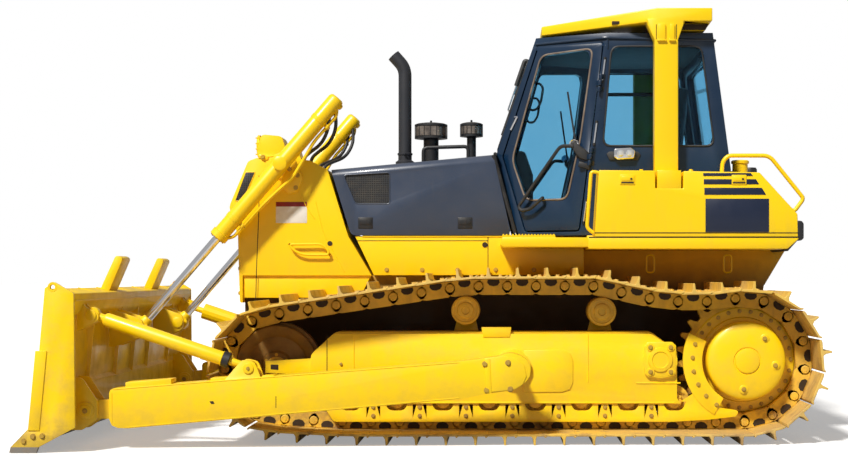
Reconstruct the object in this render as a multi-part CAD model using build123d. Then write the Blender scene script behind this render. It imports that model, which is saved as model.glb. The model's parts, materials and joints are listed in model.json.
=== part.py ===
from build123d import *
from math import atan2, cos, hypot, pi, radians, sin, tan
import os

# A wide-track crawler bulldozer with a straight tilting blade on outside push arms.
# Millimetres. +X points forward, +Y to the machine's left and +Z up. The origin is on the
# floor in the middle of the machine.

# ---- driving dimensions ---------------------------------------------------------------
TRACK_GAUGE = 2050
SHOE_WIDTH = 915
LINK_PITCH = 200.3
LINK_COUNT = 45
PIN_TO_RAIL = 62
PIN_TO_SHOE = 52
SHOE_THICKNESS = 14
GROUSER_HEIGHT = 60
GROUSER_ROOT = 22
GROUSER_TIP = 14
GROUSER_PLACE = 0.34
PIN_TO_TIP = PIN_TO_SHOE + SHOE_THICKNESS + GROUSER_HEIGHT
PIN_HEIGHT = PIN_TO_TIP
CHAIN_HALF_WIDTH = 110
RAIL_WIDTH = 55

SPROCKET_X = -2150
SPROCKET_TEETH = 27
LINK_ANGLE = 2 * 360 / SPROCKET_TEETH
SPROCKET_PIN_RADIUS = LINK_PITCH / 2 / sin(radians(LINK_ANGLE / 2))
SPROCKET_Z = PIN_HEIGHT + SPROCKET_PIN_RADIUS
FIRST_PIN_ANGLE = 109.1
PINS_ON_SPROCKET = 7

IDLER_X = 1106
IDLER_Z = 515
IDLER_PIN_RADIUS = 362
IDLER_TREAD = (IDLER_PIN_RADIUS**2 - (LINK_PITCH / 2) ** 2) ** 0.5 - PIN_TO_RAIL

FRONT_ROLLER_X = 587
ROLLER_PITCH = 321
ROLLER_COUNT = 8
ROLLER_TREAD = 92
ROLLER_FLANGE = 110
CARRIER_PINS_Z = 1075
CARRIER_XS = (-211, -1161)
CARRIER_RADIUS = 100
SLACK_START_ANGLE = 85
HUB_RADIUS = 271
HUB_EDGE_Y = 1270

TRACK_Y = TRACK_GAUGE / 2
FRAME_INNER_Y = 835
FRAME_OUTER_Y = 1215
PIVOT_SHAFT = (-1558, 557)

TRUNNION = (-537, 512)
TRUNNION_RADIUS = 55
BALL_PIN = (2275, 258)
ARM_INNER_Y = 1550
ARM_OUTER_Y = 1740
ARM_Y = 1650
BRACE_LOWER = (1210, 535)
BRACE_UPPER = (2256, 885)
TILT_ROD_RADIUS = 36

LIFT_Y = 720
LIFT_TRUNNION = (1132, 1955)
LIFT_EYE = (2147, 773)
BARREL_RADIUS = 59
ROD_RADIUS = 30

BLADE_HALF_WIDTH = 1985
END_PLATE = 40
WEAR_STRIP = 12
BLADE_BOTTOM = 4
LIFTING_EYE = (2434, 1072)
LIFTING_EYE_RADIUS = 16

HULL_HALF_WIDTH = 480
PLATFORM_Z = 1334
DRAWBAR_PLATES_Z = (560, 690)
DRAWBAR_PLATE = 45
DRAWBAR_PIN_X = -2450
DRAWBAR_PIN_RADIUS = 28
MACHINE_TOP_Z = 3062
HOOD_HALF_WIDTH = 555
GUARD_HALF_WIDTH = 580
CAB_HALF_WIDTH = 790
CAB_WALL = 50
DOOR_GAP = 12
ROPS_INNER_Y = 808
ROPS_OUTER_Y = 935
FENDER_OUTER_Y = 1130
RUNNING_GAP = 1
PIN_GAP = 7
POLYGON_SPARE = 1.04
SMALL_CORNER = 95

os.makedirs("parts", exist_ok=True)


# ---- small helpers --------------------------------------------------------------------
def rounded_corner(before, corner, after, radius):
    """The start, middle and end of the arc that rounds one corner."""
    point = Vector(*corner)
    back = (Vector(*before) - point).normalized()
    ahead = (Vector(*after) - point).normalized()
    half_angle = radians(back.get_angle(ahead) / 2)
    reach = radius / tan(half_angle)
    bisector = (back + ahead).normalized()
    middle = point + bisector * (radius / sin(half_angle) - radius)
    return point + back * reach, middle, point + ahead * reach


def outline(rows):
    """A face from rows of (u, v) or (u, v, corner radius). Small corners are two chords."""
    corners = []
    for index, row in enumerate(rows):
        place = row[:2]
        if len(row) == 3:
            after = rows[(index + 1) % len(rows)][:2]
            corners.append(rounded_corner(rows[index - 1][:2], place, after, row[2]))
        else:
            corners.append((Vector(*place), None, Vector(*place)))
    edges = []
    for index, (start, middle, end) in enumerate(corners):
        before = corners[index - 1][2]
        if (start - before).length > 0.001:
            edges.append(Line(before, start))
        if middle is None:
            continue
        if rows[index][2] > SMALL_CORNER:
            edges.append(ThreePointArc(start, middle, end))
        else:
            edges.append(Line(start, middle))
            edges.append(Line(middle, end))
    return make_face(edges)


def slab(rows, y_low, y_high):
    """A piece with its outline in X and Z, from one Y to another."""
    face = Pos(0, y_high, 0) * (Plane.XZ * outline(rows))
    return extrude(face, amount=y_high - y_low)


def wall(rows, x_low, x_high):
    """A piece with its outline in Y and Z, from one X to another."""
    face = Pos(x_low, 0, 0) * (Plane.YZ * outline(rows))
    return extrude(face, amount=x_high - x_low)


def deck(rows, z_low, z_high):
    """A piece with its outline in X and Y, from one Z to another."""
    return extrude(Pos(0, 0, z_low) * outline(rows), amount=z_high - z_low)


def block(x_low, x_high, y_low, y_high, z_low, z_high):
    """A plain box between six planes."""
    size = (x_high - x_low, y_high - y_low, z_high - z_low)
    middle = ((x_low + x_high) / 2, (y_low + y_high) / 2, (z_low + z_high) / 2)
    return Pos(*middle) * Box(*size)


def bar(start, end, radius):
    """A round bar between two points."""
    run = Vector(*end) - Vector(*start)
    plane = Plane(origin=start, z_dir=run)
    return extrude(plane * Circle(radius), amount=run.length)


def prism(start, end, radius, sides=14):
    """A many-sided bar between two points with its corners at the radius."""
    run = Vector(*end) - Vector(*start)
    plane = Plane(origin=start, z_dir=run)
    return extrude(plane * RegularPolygon(radius, sides), amount=run.length)


def cross_bar(place, y_low, y_high, radius):
    """A round bar along Y at a place in X and Z."""
    return bar((place[0], y_low, place[1]), (place[0], y_high, place[1]), radius)


def cross_prism(place, y_low, y_high, radius, sides):
    """A many-sided bar along Y whose flats lie at the radius, one of them on top."""
    turn = 180 / sides
    corner = radius / cos(radians(turn))
    rows = []
    for index in range(sides):
        angle = radians(90 + turn + 2 * turn * index)
        rows.append((place[0] + corner * cos(angle), place[1] + corner * sin(angle)))
    return slab(rows, y_low, y_high)


def grab_rail(points, radius, cut):
    """A rail with six flats along straight runs, with every corner cut by a short run."""
    eased = [points[0]]
    for before, corner, after in zip(points, points[1:], points[2:]):
        eased.append(along(corner, before, cut))
        eased.append(along(corner, after, cut))
    eased.append(points[-1])
    path = Polyline(*eased)
    section = Plane(origin=path @ 0, z_dir=path % 0) * RegularPolygon(radius, 6)
    return sweep(section, path=path, transition=Transition.RIGHT)


def along(start, end, distance):
    """The point some way from the start towards the end."""
    length = hypot(*(b - a for a, b in zip(start, end)))
    return tuple(a + (b - a) * distance / length for a, b in zip(start, end))


def mirrored(shape):
    """The right-hand twin of a left-hand piece."""
    return mirror(shape, about=Plane.XZ)


# ---- track loop -----------------------------------------------------------------------
def sprocket_point(angle):
    """The place of a pin on the sprocket at an angle in degrees."""
    x = SPROCKET_X + SPROCKET_PIN_RADIUS * cos(radians(angle))
    return x, SPROCKET_Z + SPROCKET_PIN_RADIUS * sin(radians(angle))


def sprocket_pin(index):
    """The pin that many links past the first one on the sprocket."""
    return sprocket_point(FIRST_PIN_ANGLE + LINK_ANGLE * index)


def tangent_angle(point, side):
    """The angle on the idler where a straight run from a point touches its pin circle."""
    dx = point[0] - IDLER_X
    dz = point[1] - IDLER_Z
    return atan2(dz, dx) + side * acos_ratio(IDLER_PIN_RADIUS, hypot(dx, dz))


def acos_ratio(near, far):
    """The angle whose cosine is near over far."""
    return atan2((far * far - near * near) ** 0.5, near)


def free_run(sag):
    """The pins' path from the sprocket's foot round the idler to its top, with a slack rear."""
    start = sprocket_pin(PINS_ON_SPROCKET - 1)
    front = (FRONT_ROLLER_X, PIN_HEIGHT)
    first_carrier = (CARRIER_XS[0], CARRIER_PINS_Z)
    last_carrier = (CARRIER_XS[1], CARRIER_PINS_Z)
    low = tangent_angle(front, 1)
    high = tangent_angle(first_carrier, -1)
    while low > high:
        low -= 2 * pi
    arc_steps = 60
    slack_steps = 24
    points = [start, (SPROCKET_X + LINK_PITCH / 4, PIN_HEIGHT), front]
    for index in range(arc_steps + 1):
        angle = low + (high - low) * index / arc_steps
        x = IDLER_X + IDLER_PIN_RADIUS * cos(angle)
        points.append((x, IDLER_Z + IDLER_PIN_RADIUS * sin(angle)))
    points.append(first_carrier)
    lift_off = sprocket_point(SLACK_START_ANGLE)
    for index in range(slack_steps + 1):
        share = index / slack_steps
        x = last_carrier[0] + (lift_off[0] - last_carrier[0]) * share
        z = last_carrier[1] + (lift_off[1] - last_carrier[1]) * share
        points.append((x, z - 4 * sag * share * (1 - share)))
    for angle in range(SLACK_START_ANGLE + 3, int(FIRST_PIN_ANGLE), 3):
        points.append(sprocket_point(angle))
    return points + [sprocket_pin(0)]


def step_along(points, pitch, count):
    """Points one pitch apart along a path, and how far the last is from the path's end."""
    steps = [points[0]]
    segment = 0
    while len(steps) <= count and segment < len(points) - 1:
        begin = Vector(*points[segment])
        end = Vector(*points[segment + 1])
        here = Vector(*steps[-1])
        if (end - here).length < pitch:
            segment += 1
            continue
        run = (end - begin).normalized()
        nearest = begin + run * (here - begin).dot(run)
        reach = (pitch**2 - (here - nearest).length ** 2) ** 0.5
        place = nearest + run * reach
        steps.append((place.X, place.Y))
    missing = count + 1 - len(steps)
    left_over = (Vector(*points[-1]) - Vector(*steps[-1])).length
    return steps, left_over - missing * pitch


def track_pins():
    """All pins of one closed loop, with the sag that makes the links fit."""
    count = LINK_COUNT - PINS_ON_SPROCKET + 1
    low, high = 0.0, 400.0
    for _ in range(40):
        sag = (low + high) / 2
        steps, excess = step_along(free_run(sag), LINK_PITCH, count)
        if excess < 0 or len(steps) <= count:
            low = sag
        else:
            high = sag
    on_sprocket = [sprocket_pin(index) for index in range(PINS_ON_SPROCKET)]
    return on_sprocket + steps[1:count]


PINS = track_pins()


def link_frames():
    """For each link: its first pin, its unit run and its unit outward direction."""
    frames = []
    for index, pin in enumerate(PINS):
        after = PINS[(index + 1) % len(PINS)]
        length = hypot(after[0] - pin[0], after[1] - pin[1])
        run = ((after[0] - pin[0]) / length, (after[1] - pin[1]) / length)
        frames.append((pin, run, (run[1], -run[0])))
    return frames


LINKS = link_frames()


def at_link(frame, share, out):
    """A place on a link, by its share of the pitch and its distance outward."""
    pin, run, outward = frame
    x = pin[0] + run[0] * share * LINK_PITCH + outward[0] * out
    return x, pin[1] + run[1] * share * LINK_PITCH + outward[1] * out


def offset_loop(out):
    """The closed line at a distance outward of the pins, with its corners mitred."""
    corners = []
    for index, frame in enumerate(LINKS):
        before = LINKS[index - 1]
        bend = before[1][0] * frame[1][1] - before[1][1] * frame[1][0]
        if abs(bend) < 0.00001:
            continue
        nx = before[2][0] + frame[2][0]
        nz = before[2][1] + frame[2][1]
        scale = 2 * out / (nx * nx + nz * nz)
        corners.append((frame[0][0] + nx * scale, frame[0][1] + nz * scale))
    return corners


def shoe_outline():
    """The outer edge of the shoes with one straight grouser on each."""
    plate = PIN_TO_SHOE + SHOE_THICKNESS
    root = GROUSER_ROOT / 2 / LINK_PITCH
    tip = GROUSER_TIP / 2 / LINK_PITCH
    corners = offset_points(plate)
    rows = []
    for frame, corner in zip(LINKS, corners):
        rows.append(corner)
        rows.append(at_link(frame, GROUSER_PLACE - root, plate))
        rows.append(at_link(frame, GROUSER_PLACE - tip, PIN_TO_TIP))
        rows.append(at_link(frame, GROUSER_PLACE + tip, PIN_TO_TIP))
        rows.append(at_link(frame, GROUSER_PLACE + root, plate))
    return rows


def offset_points(out):
    """One mitred corner for every pin at a distance outward."""
    corners = []
    for index, frame in enumerate(LINKS):
        before = LINKS[index - 1]
        nx = before[2][0] + frame[2][0]
        nz = before[2][1] + frame[2][1]
        scale = 2 * out / (nx * nx + nz * nz)
        corners.append((frame[0][0] + nx * scale, frame[0][1] + nz * scale))
    return corners


def rail_window(frame):
    """The opening in a link under its shoe, as a shape in X and Z."""
    rows = []
    for share, out in ((0.32, PIN_TO_SHOE + 3), (0.38, 8), (0.72, 8), (0.78, PIN_TO_SHOE + 3)):
        rows.append(at_link(frame, share, out))
    return outline(rows)


def track_loop(side):
    """One closed track: the shoes and the two rails of its chain."""
    centre = side * TRACK_Y
    shoes = outline(shoe_outline()) - outline(offset_loop(PIN_TO_SHOE))
    rail = outline(offset_loop(PIN_TO_SHOE + 4)) - outline(offset_loop(-PIN_TO_RAIL))
    pierced = rail
    for frame in LINKS:
        pierced -= rail_window(frame)
    outer = CHAIN_HALF_WIDTH
    inner = CHAIN_HALF_WIDTH - RAIL_WIDTH
    inboard_low = min(-side * outer, -side * inner)
    outboard_low = min(side * outer, side * inner)
    loop = spread(shoes, centre - SHOE_WIDTH / 2, SHOE_WIDTH)
    loop += spread(rail, centre + inboard_low, RAIL_WIDTH)
    loop += spread(pierced, centre + outboard_low, RAIL_WIDTH)
    return loop


def spread(face, y_low, width):
    """A face in X and Z made solid across Y."""
    return extrude(Pos(0, y_low + width, 0) * (Plane.XZ * face), amount=width)


# ---- undercarriage --------------------------------------------------------------------
def roller_centre(x, radius, above):
    """The centre of a roller at X that just touches the chain's rails, under or over it."""
    sign = 1 if above else -1
    best = None
    for pin, run, outward in LINKS:
        low, high = sorted((pin[0], pin[0] + run[0] * LINK_PITCH))
        lies_below = outward[1] < -0.5
        if lies_below != above or x < low - LINK_PITCH or x > high + LINK_PITCH:
            continue
        along_x = (x - pin[0]) * outward[0]
        reach = radius if abs(run[1]) < 0.002 else radius * POLYGON_SPARE
        z = pin[1] + (-(PIN_TO_RAIL + reach) - along_x) / outward[1]
        best = z if best is None else sign * max(sign * best, sign * z)
    return x, best


def roller_places():
    """The track rollers' centres, from the front."""
    xs = [FRONT_ROLLER_X - ROLLER_PITCH * index for index in range(ROLLER_COUNT)]
    return [roller_centre(x, ROLLER_TREAD, True) for x in xs]


def carrier_places():
    """The carrier rollers' centres."""
    return [roller_centre(x, CARRIER_RADIUS, False) for x in CARRIER_XS]


def rollers():
    """The left track's rollers below and above, each with its shaft."""
    pieces = []
    tread_low = TRACK_Y - CHAIN_HALF_WIDTH - 8
    tread_high = TRACK_Y + CHAIN_HALF_WIDTH + 8
    for place in roller_places():
        roller = cross_prism(place, tread_low, tread_high, ROLLER_TREAD, 8)
        roller += cross_prism(place, tread_high, tread_high + 14, ROLLER_FLANGE, 8)
        roller += cross_prism(place, FRAME_INNER_Y + 50, FRAME_OUTER_Y - 50, 32, 4)
        pieces.append(roller)
    for place in carrier_places():
        carrier = cross_prism(place, tread_low, tread_high + 12, CARRIER_RADIUS, 12)
        carrier += cross_prism(place, FRAME_INNER_Y + 50, tread_low, 32, 4)
        pieces.append(carrier)
    return Compound(children=pieces)


def idler():
    """The left front idler with its centre flange and shaft."""
    place = (IDLER_X, IDLER_Z)
    sides = 18
    tread = IDLER_TREAD * cos(pi / sides)
    wheel = cross_prism(place, TRACK_Y - 108, TRACK_Y + 108, tread, sides)
    wheel += cross_prism(place, TRACK_Y - 48, TRACK_Y + 48, tread + 22, sides)
    wheel += cross_prism(place, TRACK_Y - 135, TRACK_Y + 135, 75, 12)
    return wheel


def sprocket():
    """The left drive sprocket with its teeth and the final drive's cover."""
    root_radius = SPROCKET_PIN_RADIUS - 24
    tip_radius = SPROCKET_PIN_RADIUS + 26
    tooth = ((-0.36, root_radius), (-0.13, tip_radius), (0.13, tip_radius), (0.36, root_radius))
    step = 360 / SPROCKET_TEETH
    rows = []
    for index in range(SPROCKET_TEETH):
        middle = FIRST_PIN_ANGLE + LINK_ANGLE / 4 + step * index
        for turn, radius in tooth:
            angle = radians(middle + turn * step)
            rows.append((SPROCKET_X + radius * cos(angle), SPROCKET_Z + radius * sin(angle)))
    half = 35
    wheel = slab(rows, TRACK_Y - half, TRACK_Y + half)
    face = (SPROCKET_X, TRACK_Y + half, SPROCKET_Z)
    wheel += prism(face, (SPROCKET_X, HUB_EDGE_Y, SPROCKET_Z), HUB_RADIUS, 24)
    rim = Plane(origin=(SPROCKET_X, HUB_EDGE_Y, SPROCKET_Z), z_dir=(0, 1, 0))
    wheel += extrude(rim * RegularPolygon(HUB_RADIUS, 24), amount=30, taper=45)
    return wheel


def final_drive():
    """The left final drive's case, from the hull out to the sprocket."""
    place = (SPROCKET_X, SPROCKET_Z)
    case = cross_prism(place, HULL_HALF_WIDTH, 800, 200, 16)
    case += cross_prism(place, 800, TRACK_Y - 35, 300, 20)
    return case


def track_frame():
    """The left track frame: beam, roller plates, idler yoke, guards and trunnion shaft."""
    plate = 50
    top = 757
    beam = slab([(780, 470), (780, 680, 60), (690, top, 60), (-1500, top, 60), (-1655, 640), (-1655, 420, 40),
                 (-1560, 396), (700, 396)], FRAME_INNER_Y + plate, FRAME_OUTER_Y - plate)
    side_rows = [(860, 450, 20), (860, 600, 60), (700, 745, 60), (-1500, 745, 60), (-1676, 620), (-1676, 300),
                 (-1700, 262), (660, 262), (720, 400)]
    beam += slab(side_rows, FRAME_INNER_Y, FRAME_INNER_Y + plate)
    beam += slab(side_rows, FRAME_OUTER_Y - plate, FRAME_OUTER_Y)
    yoke = [(IDLER_X + 70, IDLER_Z - 40), (IDLER_X + 70, IDLER_Z + 40), (820, IDLER_Z + 60),
            (820, IDLER_Z - 60)]
    beam += slab(yoke, FRAME_INNER_Y + plate - 25, FRAME_INNER_Y + plate + 5)
    beam += slab(yoke, FRAME_OUTER_Y - plate - 5, FRAME_OUTER_Y - plate + 25)
    beam += roller_guard() + sprocket_guard()
    for place in carrier_places():
        rows = [(place[0] - 90, 740), (place[0] - 45, place[1] + 20), (place[0] + 45, place[1] + 20),
                (place[0] + 90, 740)]
        beam += slab(rows, FRAME_INNER_Y + 5, FRAME_INNER_Y + plate)
    beam += cross_prism(PIVOT_SHAFT, FRAME_OUTER_Y, FRAME_OUTER_Y + 25, 118, 20)
    beam += cross_prism(TRUNNION, FRAME_OUTER_Y, FRAME_OUTER_Y + 45, 125, 16)
    beam += cross_bar(TRUNNION, FRAME_OUTER_Y + 45, ARM_OUTER_Y - 25, TRUNNION_RADIUS)
    return beam


GUARD_TOP = 270
GUARD_OUTER_Y = FRAME_OUTER_Y - 12
GUARD_PLATE = 23


def roller_guard():
    """The plate outside the track rollers: a bay round each roller and two slits in each gap."""
    low = GUARD_OUTER_Y - GUARD_PLATE
    rows = [(790, GUARD_TOP), (700, 135, 30), (-1640, 135, 30), (-1900, 150), (-2085, 172, 15),
            (-2110, 212, 15),
            (-1880, 245), (-1790, 330), (-1700, GUARD_TOP)]
    guard = slab(rows, low, GUARD_OUTER_Y)
    for index in range(ROLLER_COUNT):
        x = FRONT_ROLLER_X - ROLLER_PITCH * index
        bay = [(x - 80, GUARD_TOP + 5), (x - 58, 212, 40), (x + 58, 212, 40), (x + 80, GUARD_TOP + 5)]
        guard -= slab(bay, low - 5, GUARD_OUTER_Y + 5)
    for index in range(ROLLER_COUNT - 1):
        x = FRONT_ROLLER_X - ROLLER_PITCH * (index + 0.5)
        for side in (1, -1):
            slit = [(x + side * 22, 255), (x + side * 48, 255), (x + side * 48, 160)]
            guard -= slab(slit, low - 5, GUARD_OUTER_Y + 5)
    return guard


CRESCENT_INNER = 300
CRESCENT_OUTER = 432
CRESCENT_ANGLES = (26, -60)


def sprocket_guard():
    """The crescent plate round the front of the sprocket, on the frame's rear end."""
    corners = []
    rim = [(CRESCENT_OUTER, share) for share in (0, 0.5, 1)]
    rim += [(CRESCENT_INNER, share) for share in (1, 0.5, 0)]
    for radius, share in rim:
        angle = radians(CRESCENT_ANGLES[0] + (CRESCENT_ANGLES[1] - CRESCENT_ANGLES[0]) * share)
        corners.append((SPROCKET_X + radius * cos(angle), SPROCKET_Z + radius * sin(angle)))
    edges = [ThreePointArc(*corners[:3]), Line(corners[2], corners[3]), ThreePointArc(*corners[3:]),
             Line(corners[5], corners[0])]
    face = Pos(0, FRAME_OUTER_Y - 5, 0) * (Plane.XZ * make_face(edges))
    return extrude(face, amount=30)


# ---- hull -----------------------------------------------------------------------------
def main_frame():
    """The hull between the tracks with its sloped rear, pivot shaft and equalizer bar."""
    rows = [(1430, 640, 60), (1430, 1150), (-1066, 1150), (-1066, PLATFORM_Z), (-2457, PLATFORM_Z),
            (-2534, 1402),
            (-2595, 1402, 15), (-2398, 1072), (-2330, 620, 80), (-2200, 500, 60), (1290, 500, 80)]
    hull = slab(rows, -HULL_HALF_WIDTH, HULL_HALF_WIDTH)
    hull += cross_prism(PIVOT_SHAFT, -FRAME_INNER_Y, FRAME_INNER_Y, 95, 12)
    hull += block(560, 700, -FRAME_INNER_Y, FRAME_INNER_Y, 590, 720)
    return hull + final_drive() + mirrored(final_drive())


def drawbar():
    """The rear towing clevis: two plates with one pin hole through both."""
    bracket = block(-2365, -2250, -180, 180, 520, 780)
    for low in DRAWBAR_PLATES_Z:
        rows = [(-2300, -110), (-2300, 110), (-2520, 75, 60), (-2520, -75, 60)]
        bracket += deck(rows, low, low + DRAWBAR_PLATE)
    hole = bar((DRAWBAR_PIN_X, 0, 500), (DRAWBAR_PIN_X, 0, 800), DRAWBAR_PIN_RADIUS)
    return bracket - hole


def side_frames():
    """The hull's upper sides: the front side plates and the platform under the cab."""
    pieces = []
    rows = [(475, 1150), (613, 1438), (-1066, 1438), (-1066, 1150)]
    for low, high in ((505, 545), (-545, -505)):
        pieces.append(slab(rows, low, high))
    platform = slab([(-380, 1150), (-380, 1430), (-1066, 1430), (-1066, 1150)], -505, 505)
    return platform + pieces[0] + pieces[1]


def engine():
    """The engine as one plain block on the hull."""
    return block(-330, 480, -300, 300, 1150, 1780)


GRILLE_X = 1430
GRILLE_ROWS = [(-470, 1200, 60), (470, 1200, 60), (470, 1900, 60), (-470, 1900, 60)]


def radiator_guard():
    """The housing round the radiator at the machine's front, on the hull's nose."""
    rows = [(1452, 950, 12), (1466, 1438), (1532, 1650, 80), (1392, 1985, 40), (1330, 2009, 20),
            (1092, 2009), (940, 1990), HOOD_FRONT, (661, 1438), (490, 1150), (1432, 1150), (1432, 950)]
    guard = slab(rows, -GUARD_HALF_WIDTH, GUARD_HALF_WIDTH)
    guard -= wall(GRILLE_ROWS, GRILLE_X, 1600)
    for side in (1, -1):
        boss_low, boss_high = sorted((side * GUARD_HALF_WIDTH, side * (GUARD_HALF_WIDTH + 22)))
        pin_low, pin_high = sorted((side * (GUARD_HALF_WIDTH + 22), side * (LIFT_Y - BARREL_RADIUS - 15)))
        guard += cross_prism(LIFT_TRUNNION, boss_low, boss_high, 95, 16)
        guard += cross_bar(LIFT_TRUNNION, pin_low, pin_high, 42)
    return guard


def grille():
    """The grille over the radiator: a frame with upright bars."""
    panel = wall(GRILLE_ROWS, GRILLE_X, GRILLE_X + 15)
    bars = 9
    for index in range(1, bars + 1):
        y = -470 + 940 * index / (bars + 1)
        panel += block(GRILLE_X + 15, GRILLE_X + 32, y - 9, y + 9, 1230, 1870)
    return panel


def headlamp_boxes():
    """The two lamp housings on top of the radiator guard."""
    rows = [(1312, 1990), (1330, 2060, 20), (1300, 2184, 30), (1150, 2170, 30), (1110, 2050), (1110, 1990)]
    return Compound(children=[slab(rows, 300, 560), slab(rows, -560, -300)])


# ---- hood -----------------------------------------------------------------------------
HOOD_FRONT = (812, 1925)
HOOD_REAR = (-417, 2039)
COVER_HINGE_Y = 215
COVER_AXIS_Y = 200
COVER_HINGE_RADIUS = 9
COVER_PLATE = 26
COVER_WINDOW = [(699, 1885, 25), (355, 1905, 25), (355, 1673, 25), (610, 1673, 25)]


def hood_top_z(x):
    """The height of the hood's top at X, which rises towards the cab."""
    slope = (HOOD_REAR[1] - HOOD_FRONT[1]) / (HOOD_REAR[0] - HOOD_FRONT[0])
    return HOOD_FRONT[1] + (x - HOOD_FRONT[0]) * slope


def hood_centre():
    """The fixed strip along the middle of the hood, between the hinged covers."""
    rows = [(790, hood_top_z(790)), (-400, hood_top_z(-400)), (-400, 1781), (730, 1781)]
    return slab(rows, -COVER_HINGE_Y + 30, COVER_HINGE_Y - 30)


def engine_cover():
    """The left engine cover: a folded panel from the hood's top down its side."""
    side_rows = [(790, hood_top_z(790)), (-400, hood_top_z(-400)), (-535, 1444, 30), (641, 1444, 40)]
    solid = slab(side_rows, COVER_HINGE_Y - 20, HOOD_HALF_WIDTH)
    inner = [(1200, hood_top_z(1200) - COVER_PLATE), (-900, hood_top_z(-900) - COVER_PLATE), (-900, 1000),
             (1200, 1000)]
    cover = solid - slab(inner, 0, HOOD_HALF_WIDTH - COVER_PLATE)
    hinge_low = (-380, COVER_AXIS_Y, hood_top_z(-380))
    hinge_high = (770, COVER_AXIS_Y, hood_top_z(770))
    outer_edges = [edge for edge in cover.edges() if abs(edge.center().Y - HOOD_HALF_WIDTH) < 1]
    long_edges = [edge for edge in outer_edges if edge.length > 1100 and edge.center().Z > 1800]
    cover = fillet(long_edges, 60) + bar(hinge_low, hinge_high, COVER_HINGE_RADIUS)
    return cover - slab(COVER_WINDOW, HOOD_HALF_WIDTH - 60, HOOD_HALF_WIDTH + 60)


def cover_mesh():
    """The left cover's mesh panel, set in its window."""
    return slab(COVER_WINDOW, HOOD_HALF_WIDTH - COVER_PLATE, HOOD_HALF_WIDTH - COVER_PLATE + 12)


def exhaust():
    """The exhaust stack with its bent tip."""
    foot = hood_top_z(278) - 1
    path = FilletPolyline((278, 0, foot), (278, 0, 2740), (370, 0, 2842), radius=90)
    outer = sweep(Plane(origin=path @ 0, z_dir=path % 0) * RegularPolygon(51, 12), path=path)
    inner = prism(path @ 1, along(path @ 1, path @ 0.9, 100), 44, 12)
    collar = prism((278, 0, foot), (278, 0, foot + 60), 72, 12)
    return outer + collar - inner


def pre_cleaners():
    """The two air pre-cleaners on their stems."""
    pieces = []
    for x, stem, bowl, low, high in ((75, 60, 127, 2176, 2323), (-232, 35, 86, 2198, 2328)):
        piece = prism((x, 0, hood_top_z(x) - 1), (x, 0, low), stem)
        piece += prism((x, 0, low), (x, 0, high - 35), bowl, 20)
        dome = Pos(x, 0, high - 35) * RegularPolygon(bowl, 20)
        piece += extrude(dome, amount=35, taper=40)
        pieces.append(piece)
    return Compound(children=pieces)


def hood_handle():
    """The black grab handle along the hood's top."""
    rail_z = 2118
    low = hood_top_z(0) - 40
    return grab_rail([(130, 150, low), (130, 150, rail_z), (-210, 150, rail_z + 10),
                      (-210, 150, low)], 14, 25)


# ---- cab ------------------------------------------------------------------------------
APEX = (-418, 2028)
WINDSHIELD_TOP = (-686, 2805)
KICK_BOTTOM = (-590, 1438)
APEX_HALF_WIDTH = 430
HINGE_LOW = (-1044, 1524)
HINGE_HIGH = (-1195, 2675)
CAB_FLOOR_Z = 1438
CAB_TOP_Z = 2892
CAB_REAR_LOW = (-2110, 1913)
CAB_REAR_HIGH = (-1980, 2892)
CAB_ROOF_SEAM_Z = 2800
CAB_SIDE_SEAM_X = -1225
CAB_NOSE_SEAM_Y = 425


def door_plane_normal():
    """The outward normal of the left door's plane."""
    up = Vector(HINGE_HIGH[0] - HINGE_LOW[0], 0, HINGE_HIGH[1] - HINGE_LOW[1])
    ahead = Vector(APEX[0] - HINGE_LOW[0], APEX_HALF_WIDTH - CAB_HALF_WIDTH, APEX[1] - HINGE_LOW[1])
    normal = up.cross(ahead).normalized()
    return normal if normal.Y > 0 else normal * -1


DOOR_NORMAL = door_plane_normal()
HINGE_FOOT = Vector(HINGE_LOW[0], CAB_HALF_WIDTH, HINGE_LOW[1])


def cab_profile(inset):
    """The cab's side outline, moved inward by an inset."""
    rows = [APEX, WINDSHIELD_TOP, (-716, CAB_TOP_Z), CAB_REAR_HIGH, CAB_REAR_LOW, (-2110, CAB_FLOOR_Z),
            KICK_BOTTOM]
    face = make_face(Polyline(*rows, close=True))
    if inset:
        face = offset(face, amount=-inset, kind=Kind.INTERSECTION)
    return face


def cab_volume(inset):
    """The cab's closed outer form, or the space inside it."""
    half = CAB_HALF_WIDTH - inset
    solid = extrude(Pos(0, half, 0) * (Plane.XZ * cab_profile(inset)), amount=2 * half)
    for side in (1, -1):
        normal = Vector(DOOR_NORMAL.X, side * DOOR_NORMAL.Y, DOOR_NORMAL.Z)
        point = Vector(HINGE_FOOT.X, side * HINGE_FOOT.Y, HINGE_FOOT.Z) - normal * inset
        cutter = Plane(origin=point, z_dir=normal) * Rectangle(6000, 6000)
        solid -= extrude(cutter, amount=3000)
    return solid


DOOR_ROWS = [(-640, 1476, 20), (-478, 2028, 30), (-735, 2778, 20), (-1188, 2778, 20), (-1016, 1476, 20)]
DOOR_WINDOW = [(-752, 2715, 60), (-1112, 2740, 60), (-1030, 2128, 60), (-935, 1700, 60), (-640, 1700, 40),
               (-540, 2000, 60)]
SIDE_WINDOW = [(-1262, 2710, 60), (-1910, 2710, 60), (-1990, 2080, 60), (-1190, 2080, 60)]


def cab_shell():
    """The cab without its doors: pillars, roof, floor and rear walls with cut windows."""
    shell = cab_volume(0) - cab_volume(CAB_WALL)
    opening = door_prism(DOOR_ROWS, DOOR_GAP)
    shell = shell - opening - mirrored(opening)
    for low, high in ((250, 900), (-900, -250)):
        shell -= slab(SIDE_WINDOW, low, high)
    shell = shell - front_panes() - rear_pane()
    knuckles = door_knuckles(0) + door_knuckles(2)
    return cab_panels(shell + knuckles + mirrored(knuckles))


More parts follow.
